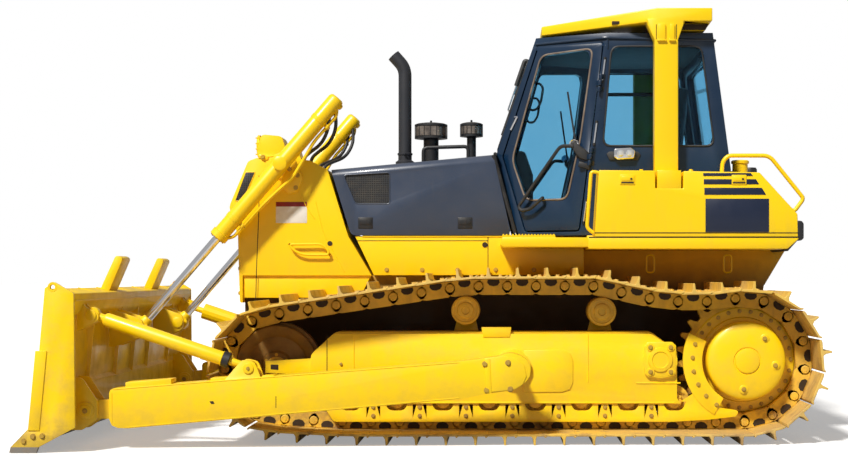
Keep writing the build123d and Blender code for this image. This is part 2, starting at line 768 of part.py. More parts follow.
def cut_at(shape, seam):
    """A shape cut by a plane: what lies on its upper side and what lies on its lower side."""
    return [split(shape, bisect_by=seam, keep=side) for side in (Keep.TOP, Keep.BOTTOM)]


def cab_panels(shell):
    """The cab's shell as the panels welded into it: roof, floor, side walls, rear and front."""
    roof, below = cut_at(shell, Plane.XY.offset(CAB_ROOF_SEAM_Z))
    walls, floor = cut_at(below, Plane.XY.offset(CAB_FLOOR_Z + CAB_WALL + 2))
    panels = roof.solids() + floor.solids()
    for side in (1, -1):
        seam = Plane(origin=(0, side * (CAB_HALF_WIDTH - CAB_WALL - 5), 0), z_dir=(0, side, 0))
        wall_panel, walls = cut_at(walls, seam)
        panels += wall_panel.solids()
    front, rear = cut_at(walls, Plane.YZ.offset(CAB_SIDE_SEAM_X))
    panels += rear.solids()
    for side in (1, -1):
        corner, front = cut_at(front, Plane(origin=(0, side * CAB_NOSE_SEAM_Y, 0), z_dir=(0, side, 0)))
        panels += corner.solids()
    return Compound(children=panels + front.solids())


HINGE_RUN = Vector(HINGE_HIGH[0] - HINGE_LOW[0], 0, HINGE_HIGH[1] - HINGE_LOW[1])
DOOR_PLANE = Plane(origin=HINGE_FOOT, x_dir=HINGE_RUN, z_dir=DOOR_NORMAL)


def door_prism(rows, grown):
    """A solid square to the left door's plane, from an outline seen from the side."""
    corners = []
    for row in rows:
        drop = DOOR_NORMAL.X * (row[0] - HINGE_FOOT.X) + DOOR_NORMAL.Z * (row[1] - HINGE_FOOT.Z)
        place = DOOR_PLANE.to_local_coords(Vector(row[0], HINGE_FOOT.Y - drop / DOOR_NORMAL.Y, row[1]))
        corners.append((place.X, place.Y, *row[2:]))
    face = outline(corners)
    if grown:
        face = offset(face, amount=grown, kind=Kind.INTERSECTION)
    return extrude(DOOR_PLANE * face, amount=80, both=True)


KNUCKLE_SHARES = (0.36, 0.82)
KNUCKLE_LENGTH = 36
KNUCKLE_RADIUS = 13
KNUCKLE_GAP = 9
HINGE_AXIS_FOOT = (-1035, 820, 1524)
CAB_LEAF = ((-10, -4), (-58, -48), (-48, -48), (4, -6))
DOOR_LEAF = ((10, -4), (44, -92), (34, -92), (-4, -6))


def door_knuckles(part):
    """One third of each left door hinge: 0 and 2 are the cab's, 1 is the door's."""
    up = HINGE_RUN.normalized()
    leaf_rows = DOOR_LEAF if part == 1 else CAB_LEAF
    joined = None
    for share in KNUCKLE_SHARES:
        low = Vector(*HINGE_AXIS_FOOT) + HINGE_RUN * share + up * (part * (KNUCKLE_LENGTH + KNUCKLE_GAP))
        corners = [low] + [low + Vector(x, y, 0) for x, y in leaf_rows]
        leaf = extrude(make_face(Polyline(*corners, close=True)), amount=KNUCKLE_LENGTH, dir=up)
        high = low + up * KNUCKLE_LENGTH
        is_round = part == 1 and share == KNUCKLE_SHARES[0]
        barrel = bar(low, high, KNUCKLE_RADIUS) if is_round else prism(low, high, KNUCKLE_RADIUS, 8)
        knuckle = barrel + leaf
        joined = knuckle if joined is None else joined + knuckle
    return joined


PANE_CUT = 60
FRONT_PANES = (
    # upper end, lower end, half width above, half width below, margin above, margin below
    (WINDSHIELD_TOP, APEX, 455, 395, 70, 60),
    (APEX, KICK_BOTTOM, 395, 500, 60, 70),
)


def front_panes():
    """Cutters for the windshield and the lower pane in the cab's front planes."""
    pieces = []
    for high, low, top_half, foot_half, top_margin, foot_margin in FRONT_PANES:
        run = Vector(low[0] - high[0], 0, low[1] - high[1])
        start = Vector(high[0], 0, high[1]) + run.normalized() * top_margin
        length = run.length - top_margin - foot_margin
        plane = Plane(origin=start, x_dir=(0, 1, 0), z_dir=run.cross(Vector(0, 1, 0)))
        rows = [(-top_half, 0, 40), (top_half, 0, 40), (foot_half, -length, 40), (-foot_half, -length, 40)]
        pieces.append(extrude(plane * outline(rows), amount=PANE_CUT, both=True))
    return pieces[0] + pieces[1]


def rear_pane():
    """The cab's rear window as a cutter."""
    rows = [(-600, 2080, 60), (600, 2080, 60), (600, 2740, 60), (-600, 2740, 60)]
    return wall(rows, -2200, -1900)


def door():
    """The left door with its window cut and its hinge knuckles."""
    panel = cab_volume(0) - cab_volume(CAB_WALL)
    panel = panel & door_prism(DOOR_ROWS, 0)
    return panel - door_prism(DOOR_WINDOW, 0) + door_knuckles(1)


def door_glass():
    """The left door's pane, inside its frame."""
    pane = cab_volume(18) - cab_volume(26)
    return pane & door_prism(DOOR_WINDOW, 0)


def cab_glass():
    """The cab's fixed panes: front, lower front, sides and rear."""
    pane = cab_volume(18) - cab_volume(26)
    cutters = [slab(SIDE_WINDOW, 250, 900), slab(SIDE_WINDOW, -900, -250), front_panes(), rear_pane()]
    pieces = []
    for cutter in cutters:
        pieces.extend((pane & cutter).solids())
    return Compound(children=pieces)


def seat():
    """The operator's seat on its base, with arm consoles."""
    floor = CAB_FLOOR_Z + CAB_WALL
    base = block(-1720, -1330, -220, 220, floor, floor + 330)
    cushion = slab([(-1720, floor + 330), (-1250, floor + 330, 40), (-1250, floor + 450, 50),
                    (-1720, floor + 420)],
                   -260, 260)
    back = slab([(-1700, floor + 400), (-1790, floor + 1120, 60), (-1900, floor + 1100, 50),
                 (-1850, floor + 330)],
                -240, 240)
    return base + cushion + back


def consoles():
    """The two control boxes beside the seat, each with a lever."""
    floor = CAB_FLOOR_Z + CAB_WALL
    pieces = []
    for low, high in ((290, 460), (-460, -290)):
        box = block(-1700, -1150, low, high, floor, floor + 520)
        middle = (low + high) / 2
        box += block(-1206, -1178, middle - 14, middle + 14, floor + 519, floor + 680)
        box += Pos(-1192, middle, floor + 700) * Box(52, 52, 60)
        pieces.append(box)
    return Compound(children=pieces)


def rops():
    """The rollover frame: two posts with flared heads, their cross beam and the roof."""
    roof = slab([(-756, 2906), (-756, 2971), (-1565, 3048), (-1958, 3048), (-1958, 2954), (-1565, 2954)],
                -ROPS_OUTER_Y, ROPS_OUTER_Y)
    roof += slab([(-1560, 2908), (-1560, 2955), (-1950, 2955), (-1925, 2908)], -ROPS_INNER_Y, ROPS_INNER_Y)
    roof += block(-1900, -1600, -600, 600, 3040, MACHINE_TOP_Z)
    for side in (1, -1):
        taper = deck([(-600, side * 1100), (-600, side * 488), (-756, side * 560),
                      (-1565, side * ROPS_OUTER_Y),
                      (-1565, side * 1100)], 2700, 3200)
        roof -= taper
        low, high = sorted((side * ROPS_INNER_Y, side * ROPS_OUTER_Y))
        rows = [(-1548, fender_top_z(-1548)), (-1548, 2823), (-1497, 2933), (-1497, 2970), (-1755, 2970),
                (-1755, 2933), (-1716, 2823), (-1716, fender_top_z(-1716))]
        roof += slab(rows, low, high)
    return roof


# ---- rear body ------------------------------------------------------------------------
FENDER_FRONT = (-1066, 1886)
FENDER_REAR = (-2262, 1868)
REAR_ROWS = [(-1066, PLATFORM_Z), (-1066, 1886, 20), (-2262, 1868, 40), (-2527, 1578, 40), (-2534, 1402, 20),
             (-2457, PLATFORM_Z)]


def fender_top_z(x):
    """The height of the side boxes' top at X."""
    slope = (FENDER_REAR[1] - FENDER_FRONT[1]) / (FENDER_REAR[0] - FENDER_FRONT[0])
    return FENDER_FRONT[1] + (x - FENDER_FRONT[0]) * slope


def fender():
    """The left side box beside the cab, over the track."""
    body = slab(REAR_ROWS, CAB_HALF_WIDTH + 12, FENDER_OUTER_Y)
    body -= deck([(-1000, 700), (-1000, 930), (-1140, 700)], 1200, 2000)
    foot = block(-2100, -1070, 420, CAB_HALF_WIDTH + 12, PLATFORM_Z, CAB_FLOOR_Z)
    return body + foot


def fuel_tank():
    """The fuel tank across the rear, behind the cab."""
    rows = [(-2125, PLATFORM_Z), (-2125, fender_top_z(-2125))] + REAR_ROWS[2:]
    tank = slab(rows, -CAB_HALF_WIDTH - 12, CAB_HALF_WIDTH + 12)
    tank += prism((-2210, 480, 1860), (-2210, 480, 1990), 55)
    return tank + prism((-2210, 480, 1989), (-2210, 480, 2040), 70)


def bumper():
    """The black rear guard across the tank's foot."""
    rows = [(-2520, 1403), (-2573, 1403, 15), (-2573, 1530, 15), (-2520, 1530)]
    return slab(rows, -FENDER_OUTER_Y, FENDER_OUTER_Y)


def rear_rail():
    """The left rear grab rail on the tank."""
    y = 900
    points = [(-2040, y, 1860), (-2085, y, 1975), (-2380, y, 1975), (-2590, y, 1690), (-2490, y, 1590)]
    return grab_rail(points, 14, 30)


def steps():
    """The left entry step under the door."""
    plate = block(-800, -457, 545, 700, 1354, 1372)
    for x in (-790, -475):
        plate += slab([(x, 1250), (x, 1354), (x + 14, 1354), (x + 14, 1250)], 545, 560)
        plate += block(x, x + 14, 560, 690, 1330, 1354)
    return plate


# ---- blade ----------------------------------------------------------------------------
MOLDBOARD_PLATE = 18
INNER_HALF_WIDTH = BLADE_HALF_WIDTH - END_PLATE


def moldboard_face():
    """The moldboard's curved section with its top and bottom beams, in X and Z."""
    front = [(2470, 1062), (2398, 620), (2510, 160)]
    back = [(2510 - MOLDBOARD_PLATE, 152), (2398 - MOLDBOARD_PLATE, 620), (2470 - MOLDBOARD_PLATE, 1062)]
    edges = [
        ThreePointArc(front[0], front[1], front[2]),
        Line(front[2], back[0]),
        ThreePointArc(back[0], back[1], back[2]),
        Line(back[2], front[0]),
    ]
    return make_face(edges)


def moldboard():
    """The curved moldboard with its box beams and upright ribs behind."""
    width = INNER_HALF_WIDTH
    board = extrude(Pos(0, width, 0) * (Plane.XZ * moldboard_face()), amount=2 * width)
    hollow_side = cutter_in_front(width)
    top_beam = slab([(2460, 1062), (2299, 1033, 15), (2299, 985, 15), (2330, 900, 30),
                     (2430, 840)], -width, width)
    low_beam = slab([(2372, 420, 20), (2372, 140, 20), (2430, 110), (2500, 150), (2480, 300), (2420, 470)],
                    -width, width)
    board += top_beam - hollow_side
    board += low_beam - hollow_side
    for y in (-1300, -520, 0, 520, 1300):
        rib = slab([(2320, 920), (2372, 410), (2460, 410), (2460, 920)], y - 9, y + 9)
        board += rib - hollow_side
    return board


def cutter_in_front(width):
    """Everything in front of the moldboard's middle thickness."""
    half = MOLDBOARD_PLATE / 2
    edges = [
        ThreePointArc((2470 - half, 1064), (2398 - half, 620), (2510 - half, 150)),
        Line((2510 - half, 150), (2560, 100)),
        Line((2560, 100), (3000, 100)),
        Line((3000, 100), (3000, 1300)),
        Line((3000, 1300), (2470 - half, 1300)),
        Line((2470 - half, 1300), (2470 - half, 1064)),
    ]
    return extrude(Pos(0, width + 5, 0) * (Plane.XZ * make_face(edges)), amount=2 * width + 10)


def end_plate():
    """The blade's left end plate, with a lifting eye in its top corner."""
    rows = [(2425, 1106, 12), (2484, 1065), (2520, 663), (2592, 157), (2705, 40), (2525, 40), (2290, 166),
            (2299, 1033, 15)]
    plate = slab(rows, INNER_HALF_WIDTH, BLADE_HALF_WIDTH - WEAR_STRIP)
    plate -= cross_bar(LIFTING_EYE, INNER_HALF_WIDTH - 5, BLADE_HALF_WIDTH + 5, LIFTING_EYE_RADIUS)
    strip = [(2520, 663), (2592, 157), (2522, 147), (2446, 650)]
    foot = [(2600, 145), (2705, 40), (2525, 40), (2420, 98), (2450, 130)]
    plate += slab(strip, BLADE_HALF_WIDTH - WEAR_STRIP, BLADE_HALF_WIDTH)
    return plate + slab(foot, BLADE_HALF_WIDTH - WEAR_STRIP, BLADE_HALF_WIDTH)


def cutting_edge():
    """The bolted cutting edge along the blade's foot, with its end bits."""
    edge = slab([(2511, 168), (2531, 176), (2714, BLADE_BOTTOM), (2690, BLADE_BOTTOM), (2500, 158)],
                -INNER_HALF_WIDTH, INNER_HALF_WIDTH)
    bit = slab([(2705, 40), (2714, BLADE_BOTTOM), (2540, BLADE_BOTTOM), (2525, 40)],
               INNER_HALF_WIDTH, BLADE_HALF_WIDTH)
    return [edge, bit, mirrored(bit)]


def blade_brackets():
    """The lugs behind the blade: push arm clevises, brace and lift ears."""
    pieces = []
    clevis = [(2374, 475), (2374, 130), (2300, 130, 40), (2200, 200, 40), (2200, 320, 40), (2300, 475, 40)]
    for y in (ARM_Y - 108, ARM_Y + 83):
        pieces.append(slab(clevis, y, y + 25))
        pieces.append(slab(clevis, -y - 25, -y))
    pin_low, pin_high = ARM_Y - 83, ARM_Y + 83
    pieces.append(cross_prism(BALL_PIN, pin_low, pin_high, 38, 12))
    pieces.append(cross_prism(BALL_PIN, -pin_high, -pin_low, 38, 12))
    ear = [(2345, 960), (2320, 985), (2290, 940, 30), (2205, 900, 35), (2205, 850, 35), (2300, 800),
           (2345, 780)]
    for y in (ARM_Y - 56, ARM_Y + 31):
        pieces.append(slab(ear, y, y + 25))
        pieces.append(slab(ear, -y - 25, -y))
    pieces.append(cross_bar(BRACE_UPPER, -ARM_Y - 31, -ARM_Y + 31, 28))
    lift_ear = [(2345, 900), (2300, 900), (2100, 830, 50), (2100, 720, 50), (2300, 640), (2345, 640)]
    for y in (LIFT_Y - 122, LIFT_Y + 97):
        pieces.append(slab(lift_ear, y, y + 25))
        pieces.append(slab(lift_ear, -y - 25, -y))
    guard = [(2400, 985), (2345, 1050), (2249, 1275, 20), (2300, 1296, 20), (2408, 1060)]
    for low in (575, -825):
        pieces.append(slab(guard, low, low + 250))
    return Compound(children=pieces)


def brace():
    """The left brace from the blade's upper lug down to the push arm."""
    low = (BRACE_LOWER[0], ARM_Y, BRACE_LOWER[1])
    high = (BRACE_UPPER[0], ARM_Y, BRACE_UPPER[1])
    tube = prism(along(low, high, 300), along(low, high, 1010), 47)
    tube += prism(along(low, high, 30), along(low, high, 301), 24, 8)
    tube += prism(along(low, high, 250), along(low, high, 330), 58)
    tube += prism(along(low, high, 1009), along(low, high, 1080), 30, 8)
    tube += cross_prism(BRACE_LOWER, ARM_Y - 25, ARM_Y + 25, 46, 16)
    tube += cross_prism(BRACE_UPPER, ARM_Y - 31, ARM_Y + 31, 50, 16)
    tube -= cross_prism(BRACE_LOWER, ARM_Y - 30, ARM_Y + 30, 32, 12)
    return tube


def push_arm(eye_bore):
    """The left push arm: a box beam with its trunnion cap, ball eye and brace lug."""
    rows = [(2126, 143, 60), (2126, 400, 30), (1900, 418), (-194, 580), (-430, 612, 80), (-520, 640, 80),
            (-640, 600, 90), (-662, 480, 90), (-560, 395, 90), (-380, 370, 60), (-194, 334), (2000, 140, 60)]
    arm = slab(rows, ARM_INNER_Y, ARM_OUTER_Y)
    arm -= cross_bar(TRUNNION, ARM_INNER_Y - 5, ARM_OUTER_Y - 20, TRUNNION_RADIUS + RUNNING_GAP)
    neck = slab([(2120, 200), (2120, 330), (2230, 320), (2230, 200)], ARM_Y - 55, ARM_Y + 55)
    eye = cross_prism(BALL_PIN, ARM_Y - 60, ARM_Y + 60, 80, 16)
    arm += neck + eye
    arm -= cross_prism(BALL_PIN, ARM_Y - 70, ARM_Y + 70, eye_bore, 12)
    return arm


def brace_lug(side, pin_radius):
    """The two ears on top of a push arm that hold a brace or the tilt rod, and their pin."""
    top = 400 + (2126 - BRACE_LOWER[0]) * 180 / 2320
    ear = [(1120, top - 20), (1165, 575, 40), (1250, 595, 40), (1370, top - 20)]
    pieces = []
    gap = 62
    for y in (ARM_Y - gap - 22, ARM_Y + gap):
        pieces.append(slab(ear, y, y + 22))
    pieces.append(cross_prism(BRACE_LOWER, ARM_Y - gap, ARM_Y + gap, pin_radius, 8))
    lug = pieces[0] + pieces[1] + pieces[2]
    return lug if side > 0 else mirrored(lug)


def tilt_parts():
    """The tilt cylinder on the right: its barrel at the blade and its rod at the arm."""
    low = (BRACE_LOWER[0], -ARM_Y, BRACE_LOWER[1])
    high = (BRACE_UPPER[0], -ARM_Y, BRACE_UPPER[1])
    barrel = prism(along(high, low, 135), along(high, low, 760), 68)
    barrel += cross_prism(BRACE_UPPER, -ARM_Y - 25, -ARM_Y + 25, 55, 16)
    barrel += prism(along(high, low, 20), along(high, low, 140), 25, 8)
    barrel -= prism(along(high, low, 200), along(high, low, 800), TILT_ROD_RADIUS + 3 * RUNNING_GAP, 12)
    barrel -= cross_bar(BRACE_UPPER, -ARM_Y - 30, -ARM_Y + 30, 28 + RUNNING_GAP)
    rod = prism(along(high, low, 330), along(high, low, 950), TILT_ROD_RADIUS, 10)
    rod += prism(along(high, low, 949), along(high, low, 1070), 24, 8)
    rod += cross_prism(BRACE_LOWER, -ARM_Y - 25, -ARM_Y + 25, 50, 12)
    rod -= cross_prism(BRACE_LOWER, -ARM_Y - 30, -ARM_Y + 30, 37, 12)
    return barrel, rod


# ---- lift cylinders -------------------------------------------------------------------
def lift_point(distance):
    """A point on the left lift cylinder's line, by its distance from the trunnion."""
    start = (LIFT_TRUNNION[0], LIFT_Y, LIFT_TRUNNION[1])
    end = (LIFT_EYE[0], LIFT_Y, LIFT_EYE[1])
    return along(start, end, distance)


LIFT_LENGTH = hypot(LIFT_EYE[0] - LIFT_TRUNNION[0], LIFT_EYE[1] - LIFT_TRUNNION[1])


def lift_barrel():
    """The left lift cylinder's barrel with its trunnion collar and gland."""
    barrel = prism(lift_point(-630), lift_point(660), BARREL_RADIUS)
    barrel += prism(lift_point(655), lift_point(700), BARREL_RADIUS + 9)
    barrel += prism(lift_point(-70), lift_point(70), BARREL_RADIUS + 14)
    hub_low = GUARD_HALF_WIDTH + 32
    barrel += cross_prism(LIFT_TRUNNION, hub_low, LIFT_Y, 72, 16)
    barrel -= prism(lift_point(-570), lift_point(720), ROD_RADIUS + 3 * RUNNING_GAP, 12)
    barrel -= cross_bar(LIFT_TRUNNION, hub_low - 5, LIFT_Y - BARREL_RADIUS - 10, 42 + RUNNING_GAP)
    return barrel


def lift_rod():
    """The left lift cylinder's rod with its eye at the blade."""
    rod = prism(lift_point(230), lift_point(LIFT_LENGTH - 30), ROD_RADIUS, 12)
    rod += cross_prism(LIFT_EYE, LIFT_Y - 45, LIFT_Y + 45, 62, 16)
    rod += cross_prism(LIFT_EYE, LIFT_Y - 58, LIFT_Y + 58, 30, 8)
    return rod


HOSE_RADIUS = 13


def lift_hoses():
    """The two hoses from the guard's top to the left lift cylinder's tail."""
    tail = lift_point(-600)
    pieces = []
    for start_x, start_y, end_y in ((1000, 470, 735), (950, 430, 700)):
        z = 1985
        points = [(start_x, start_y, z), (start_x - 110, start_y + 140, z + 75),
                  (start_x - 200, start_y + 225, z + 190), (tail[0] + 42, end_y, tail[2] - 42)]
        path = FilletPolyline(*points, radius=150)
        section = Plane(origin=path @ 0, z_dir=path % 0) * RegularPolygon(HOSE_RADIUS, 6)
        pieces.append(sweep(section, path=path))
    return Compound(children=pieces)


# ---- assembly -------------------------------------------------------------------------
def both(piece):
    """A left-hand piece and its right-hand twin as one node's solids."""
    return Compound(children=piece.solids() + mirrored(piece).solids())


def apart(pieces, *carriers):
    """The solids of a node cut where the pieces that carry them begin."""
    kept = []
    for solid in pieces.solids():
        for carrier in carriers:
            solid = solid - carrier
        kept.append(max(solid.solids(), key=lambda part: part.volume))
    return Compound(children=kept)


def build():
    """Every node by name."""
    tilt_barrel, tilt_rod = tilt_parts()
    hull = main_frame()
    guard = radiator_guard() + headlamp_boxes().solids()
    hood = hood_centre()
    tank = fuel_tank()
    side_boxes = both(fender())
    board = moldboard()
    end = end_plate()
    barrel = lift_barrel()
    nodes = {
        "main_frame": hull,
        "drawbar": drawbar() - hull,
        "side_frames": side_frames(),
        "engine": engine(),
        "radiator_guard": guard,
        "grille": grille(),
        "hood_centre": hood,
        "exhaust": exhaust() - hood,
        "pre_cleaners": apart(pre_cleaners(), hood),
        "cab_shell": cab_shell(),
        "cab_glass": cab_glass(),
        "operator_station": Compound(children=seat().solids() + consoles().solids()),
        "rops": rops(),
        "fuel_tank": tank,
        "bumper": bumper() - tank - side_boxes,
        "fenders": side_boxes,
        "handrails": apart(Compound(children=both(rear_rail()).solids() + hood_handle().solids()),
                           hood, tank, *side_boxes.solids()),
        "steps": both(steps()),
        "track_left": track_loop(1),
        "track_right": track_loop(-1),
        "rollers": both(rollers()),
        "idlers": both(idler()),
        "sprockets": both(sprocket()),
        "blade_moldboard": Compound(children=[board, end, mirrored(end)]),
        "blade_cutting_edge": Compound(children=[piece - board for piece in cutting_edge()]),
        "blade_brackets": apart(blade_brackets(), board),
        "blade_brace": brace(),
        "tilt_barrel": tilt_barrel,
        "tilt_rod": tilt_rod,
        "push_arm_left": push_arm(40 + PIN_GAP) + brace_lug(1, 24),
        "push_arm_right": mirrored(push_arm(56)) + brace_lug(-1, 24),
    }
    paired = {
        "track_frame": track_frame(),
        "engine_cover": engine_cover() + cover_mesh(),
        "door": door(),
        "door_glass": door_glass(),
        "lift_barrel": barrel,
        "lift_rod": lift_rod(),
        "lift_hoses": apart(lift_hoses(), guard, barrel),
    }
    for name, piece in paired.items():
        nodes[name + "_left"] = piece
        nodes[name + "_right"] = mirrored(piece)
    return nodes


for name, piece in build().items():
    export_step(piece, f"parts/{name}.step")
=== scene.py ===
import json
from math import atan2, cos, hypot, pi, radians, sin

import bmesh
import bpy
from mathutils import Matrix, Vector


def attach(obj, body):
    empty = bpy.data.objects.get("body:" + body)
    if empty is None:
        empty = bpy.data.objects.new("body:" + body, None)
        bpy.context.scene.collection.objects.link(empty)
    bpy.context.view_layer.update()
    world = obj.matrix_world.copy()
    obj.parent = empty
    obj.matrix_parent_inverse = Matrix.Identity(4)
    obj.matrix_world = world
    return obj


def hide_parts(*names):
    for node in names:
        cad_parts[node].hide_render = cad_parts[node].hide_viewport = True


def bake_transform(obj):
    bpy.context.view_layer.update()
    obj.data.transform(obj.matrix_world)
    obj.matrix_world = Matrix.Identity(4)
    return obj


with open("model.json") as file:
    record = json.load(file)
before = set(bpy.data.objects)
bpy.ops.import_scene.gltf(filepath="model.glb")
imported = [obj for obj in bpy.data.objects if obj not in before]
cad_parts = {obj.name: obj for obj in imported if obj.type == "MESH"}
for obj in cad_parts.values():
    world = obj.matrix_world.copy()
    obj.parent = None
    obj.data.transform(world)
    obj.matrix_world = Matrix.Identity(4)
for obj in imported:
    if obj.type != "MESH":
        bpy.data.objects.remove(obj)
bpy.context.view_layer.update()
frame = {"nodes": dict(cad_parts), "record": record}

# A wide-track crawler bulldozer. Shapes are written in millimetres, in the part's frame, and
# become metres when a piece is finished: +X forward, +Y to the machine's left, +Z up.
TO_METRES = 0.001
BODY_OF = {node: body for body, nodes in frame["record"]["behaviour"]["bodies"].items() for node in nodes}
X, Y, Z = Vector((1, 0, 0)), Vector((0, 1, 0)), Vector((0, 0, 1))
LEFT, RIGHT = 1, -1
SIDES = ((LEFT, "left"), (RIGHT, "right"))

# ---- dimensions shared with the part -----------------------------------------------------
TRACK_Y = 1025
SHOE_WIDTH = 915
LINK_PITCH = 200.3
LINK_COUNT = 45
PIN_TO_RAIL = 62
PIN_HEIGHT = 126
SPROCKET_TEETH = 27
SPROCKET = (-2150, PIN_HEIGHT + LINK_PITCH / 2 / sin(2 * pi / SPROCKET_TEETH))
LINK_ANGLE = 4 * pi / SPROCKET_TEETH
SPROCKET_PIN_RADIUS = LINK_PITCH / 2 / sin(LINK_ANGLE / 2)
FIRST_PIN_ANGLE = radians(109.1)
SLACK_START_ANGLE = 85
PINS_ON_SPROCKET = 7
IDLER = (1106, 515)
IDLER_PIN_RADIUS = 362
FRONT_ROLLER_X = 587
ROLLER_PITCH = 321
ROLLER_COUNT = 8
CARRIER_XS = (-211, -1161)
CARRIER_PINS_Z = 1075
FRAME_OUTER_Y = 1215
BALL_PIN = (2275, 258)
ARM_Y = 1650
ARM_OUTER_Y = 1740
BRACE_LOWER = (1210, 535)
BRACE_UPPER = (2256, 885)
LIFT_Y = 720
LIFT_TRUNNION = (1132, 1955)
LIFT_EYE = (2147, 773)
GUARD_HALF_WIDTH = 580
HOOD_HALF_WIDTH = 555
FENDER_OUTER_Y = 1130
BLADE_HALF_WIDTH = 1985
HOOD_FRONT = (812, 1925)
HOOD_REAR = (-417, 2039)
HULL_WALL_Y = 545
DECK_Z = 1414


# ---- camera, light, floor ----------------------------------------------------------------
CAMERA_PLACE = (-0.451, 12.3, 1.138)
SENSOR_WIDTH, LENS_LENGTH = 36, 68.01
SHIFT_X, SHIFT_Y = -0.0896, 0.0554
KEY_FROM = (0.34, 0.60, 0.72)
KEY_STRENGTH, KEY_SPREAD = 4.3, 7
KEY_COLOUR = (1.0, 0.97, 0.92)
FILL_COLOUR = (0.97, 0.97, 1.0, 1)
FILL_STRENGTH = 0.15
GLOSS_SHARE = 0.3
WHITE = (1, 1, 1, 1)
FLOOR_SIZE = 400
FLOOR_GLOW = 0.34
FLOOR_BOUNCE = (0.38, 0.36, 0.34, 1)
FLOOR_SEEN = (0.85, 0.85, 0.85, 1)
MIX_SHARE, MIX_FIRST, MIX_SECOND, MIX_RESULT = 0, 6, 7, 2


def place_camera():
    """A long lens square to the machine's left side, a little above the track."""
    data = bpy.data.cameras.new("camera")
    data.sensor_width, data.lens = SENSOR_WIDTH, LENS_LENGTH
    data.shift_x, data.shift_y = SHIFT_X, SHIFT_Y
    camera = bpy.data.objects.new("camera", data)
    camera.location = CAMERA_PLACE
    camera.rotation_euler = (radians(90), 0, radians(180))
    bpy.context.scene.collection.objects.link(camera)
    bpy.context.scene.camera = camera


def light_scene():
    """One large soft key from the front left, and a pale world that fills the shadows."""
    bpy.context.scene.view_settings.view_transform = "Standard"
    key = bpy.data.lights.new("key", "SUN")
    key.energy = KEY_STRENGTH
    key.angle = radians(KEY_SPREAD)
    key.color = KEY_COLOUR
    lamp = bpy.data.objects.new("key", key)
    lamp.rotation_euler = Vector(KEY_FROM).to_track_quat("Z", "Y").to_euler()
    bpy.context.scene.collection.objects.link(lamp)
    world = bpy.data.worlds.new("studio")
    bpy.context.scene.world = world
    world.use_nodes = True
    nodes, links = world.node_tree.nodes, world.node_tree.links
    nodes.clear()
    out = nodes.new("ShaderNodeOutputWorld")
    mix = nodes.new("ShaderNodeMixShader")
    fill, white = nodes.new("ShaderNodeBackground"), nodes.new("ShaderNodeBackground")
    fill.inputs["Color"].default_value = FILL_COLOUR
    fill.inputs["Strength"].default_value = FILL_STRENGTH
    white.inputs["Color"].default_value = WHITE
    links.new(seen_directly(nodes, links), mix.inputs[0])
    links.new(fill.outputs[0], mix.inputs[1])
    links.new(white.outputs[0], mix.inputs[2])
    links.new(mix.outputs[0], out.inputs[0])


def seen_directly(nodes, links):
    """1 where a ray comes from the camera or through glass, less where it is a reflection."""
    path = nodes.new("ShaderNodeLightPath")
    total = path.outputs["Is Camera Ray"]
    for name, share in (("Is Glossy Ray", GLOSS_SHARE), ("Is Transmission Ray", 1)):
        weighed, larger = nodes.new("ShaderNodeMath"), nodes.new("ShaderNodeMath")
        weighed.operation, larger.operation = "MULTIPLY", "MAXIMUM"
        weighed.inputs[1].default_value = share
        links.new(path.outputs[name], weighed.inputs[0])
        links.new(total, larger.inputs[0])
        links.new(weighed.outputs[0], larger.inputs[1])
        total = larger.outputs[0]
    return total


def lay_floor():
    """A plain pale floor that keeps the machine's shadow."""
    bpy.ops.mesh.primitive_plane_add(size=FLOOR_SIZE, location=(0, 0, 0))
    floor = bpy.context.object
    floor.name = "floor"
    material = bpy.data.materials.new("floor")
    material.use_nodes = True
    nodes, links = material.node_tree.nodes, material.node_tree.links
    nodes.clear()
    out = nodes.new("ShaderNodeOutputMaterial")
    diffuse = nodes.new("ShaderNodeBsdfDiffuse")
    glow = nodes.new("ShaderNodeEmission")
    add = nodes.new("ShaderNodeAddShader")
    share = nodes.new("ShaderNodeMath")
    share.operation = "MULTIPLY"
    share.inputs[1].default_value = FLOOR_GLOW
    colour = nodes.new("ShaderNodeMix")
    colour.data_type = "RGBA"
    colour.inputs[MIX_FIRST].default_value = FLOOR_BOUNCE
    colour.inputs[MIX_SECOND].default_value = FLOOR_SEEN
    links.new(seen_directly(nodes, links), colour.inputs[MIX_SHARE])
    links.new(colour.outputs[MIX_RESULT], diffuse.inputs["Color"])
    glow.inputs["Color"].default_value = WHITE
    links.new(seen_directly(nodes, links), share.inputs[0])
    links.new(share.outputs[0], glow.inputs["Strength"])
    links.new(diffuse.outputs[0], add.inputs[0])
    links.new(glow.outputs[0], add.inputs[1])
    links.new(add.outputs[0], out.inputs[0])
    floor.data.materials.append(material)


place_camera()
light_scene()
lay_floor()

# ---- materials ---------------------------------------------------------------------------
def tint(red, green, blue):
    """A colour written as 0 to 255 values, in the linear form that shaders take."""
    values = []
    for value in (red, green, blue):
        share = value / 255
        values.append(share / 12.92 if share < 0.04045 else ((share + 0.055) / 1.055) ** 2.4)
    return (*values, 1)


def new_group(name, inputs, outputs):
    """An empty shader group with named sockets: rows of (name, type, default)."""
    group = bpy.data.node_groups.new(name, "ShaderNodeTree")
    for label, kind, value in inputs:
        socket = group.interface.new_socket(label, in_out="INPUT", socket_type="NodeSocket" + kind)
        socket.default_value = value
    for label, kind in outputs:
        group.interface.new_socket(label, in_out="OUTPUT", socket_type="NodeSocket" + kind)
    return group, group.nodes.new("NodeGroupInput"), group.nodes.new("NodeGroupOutput")


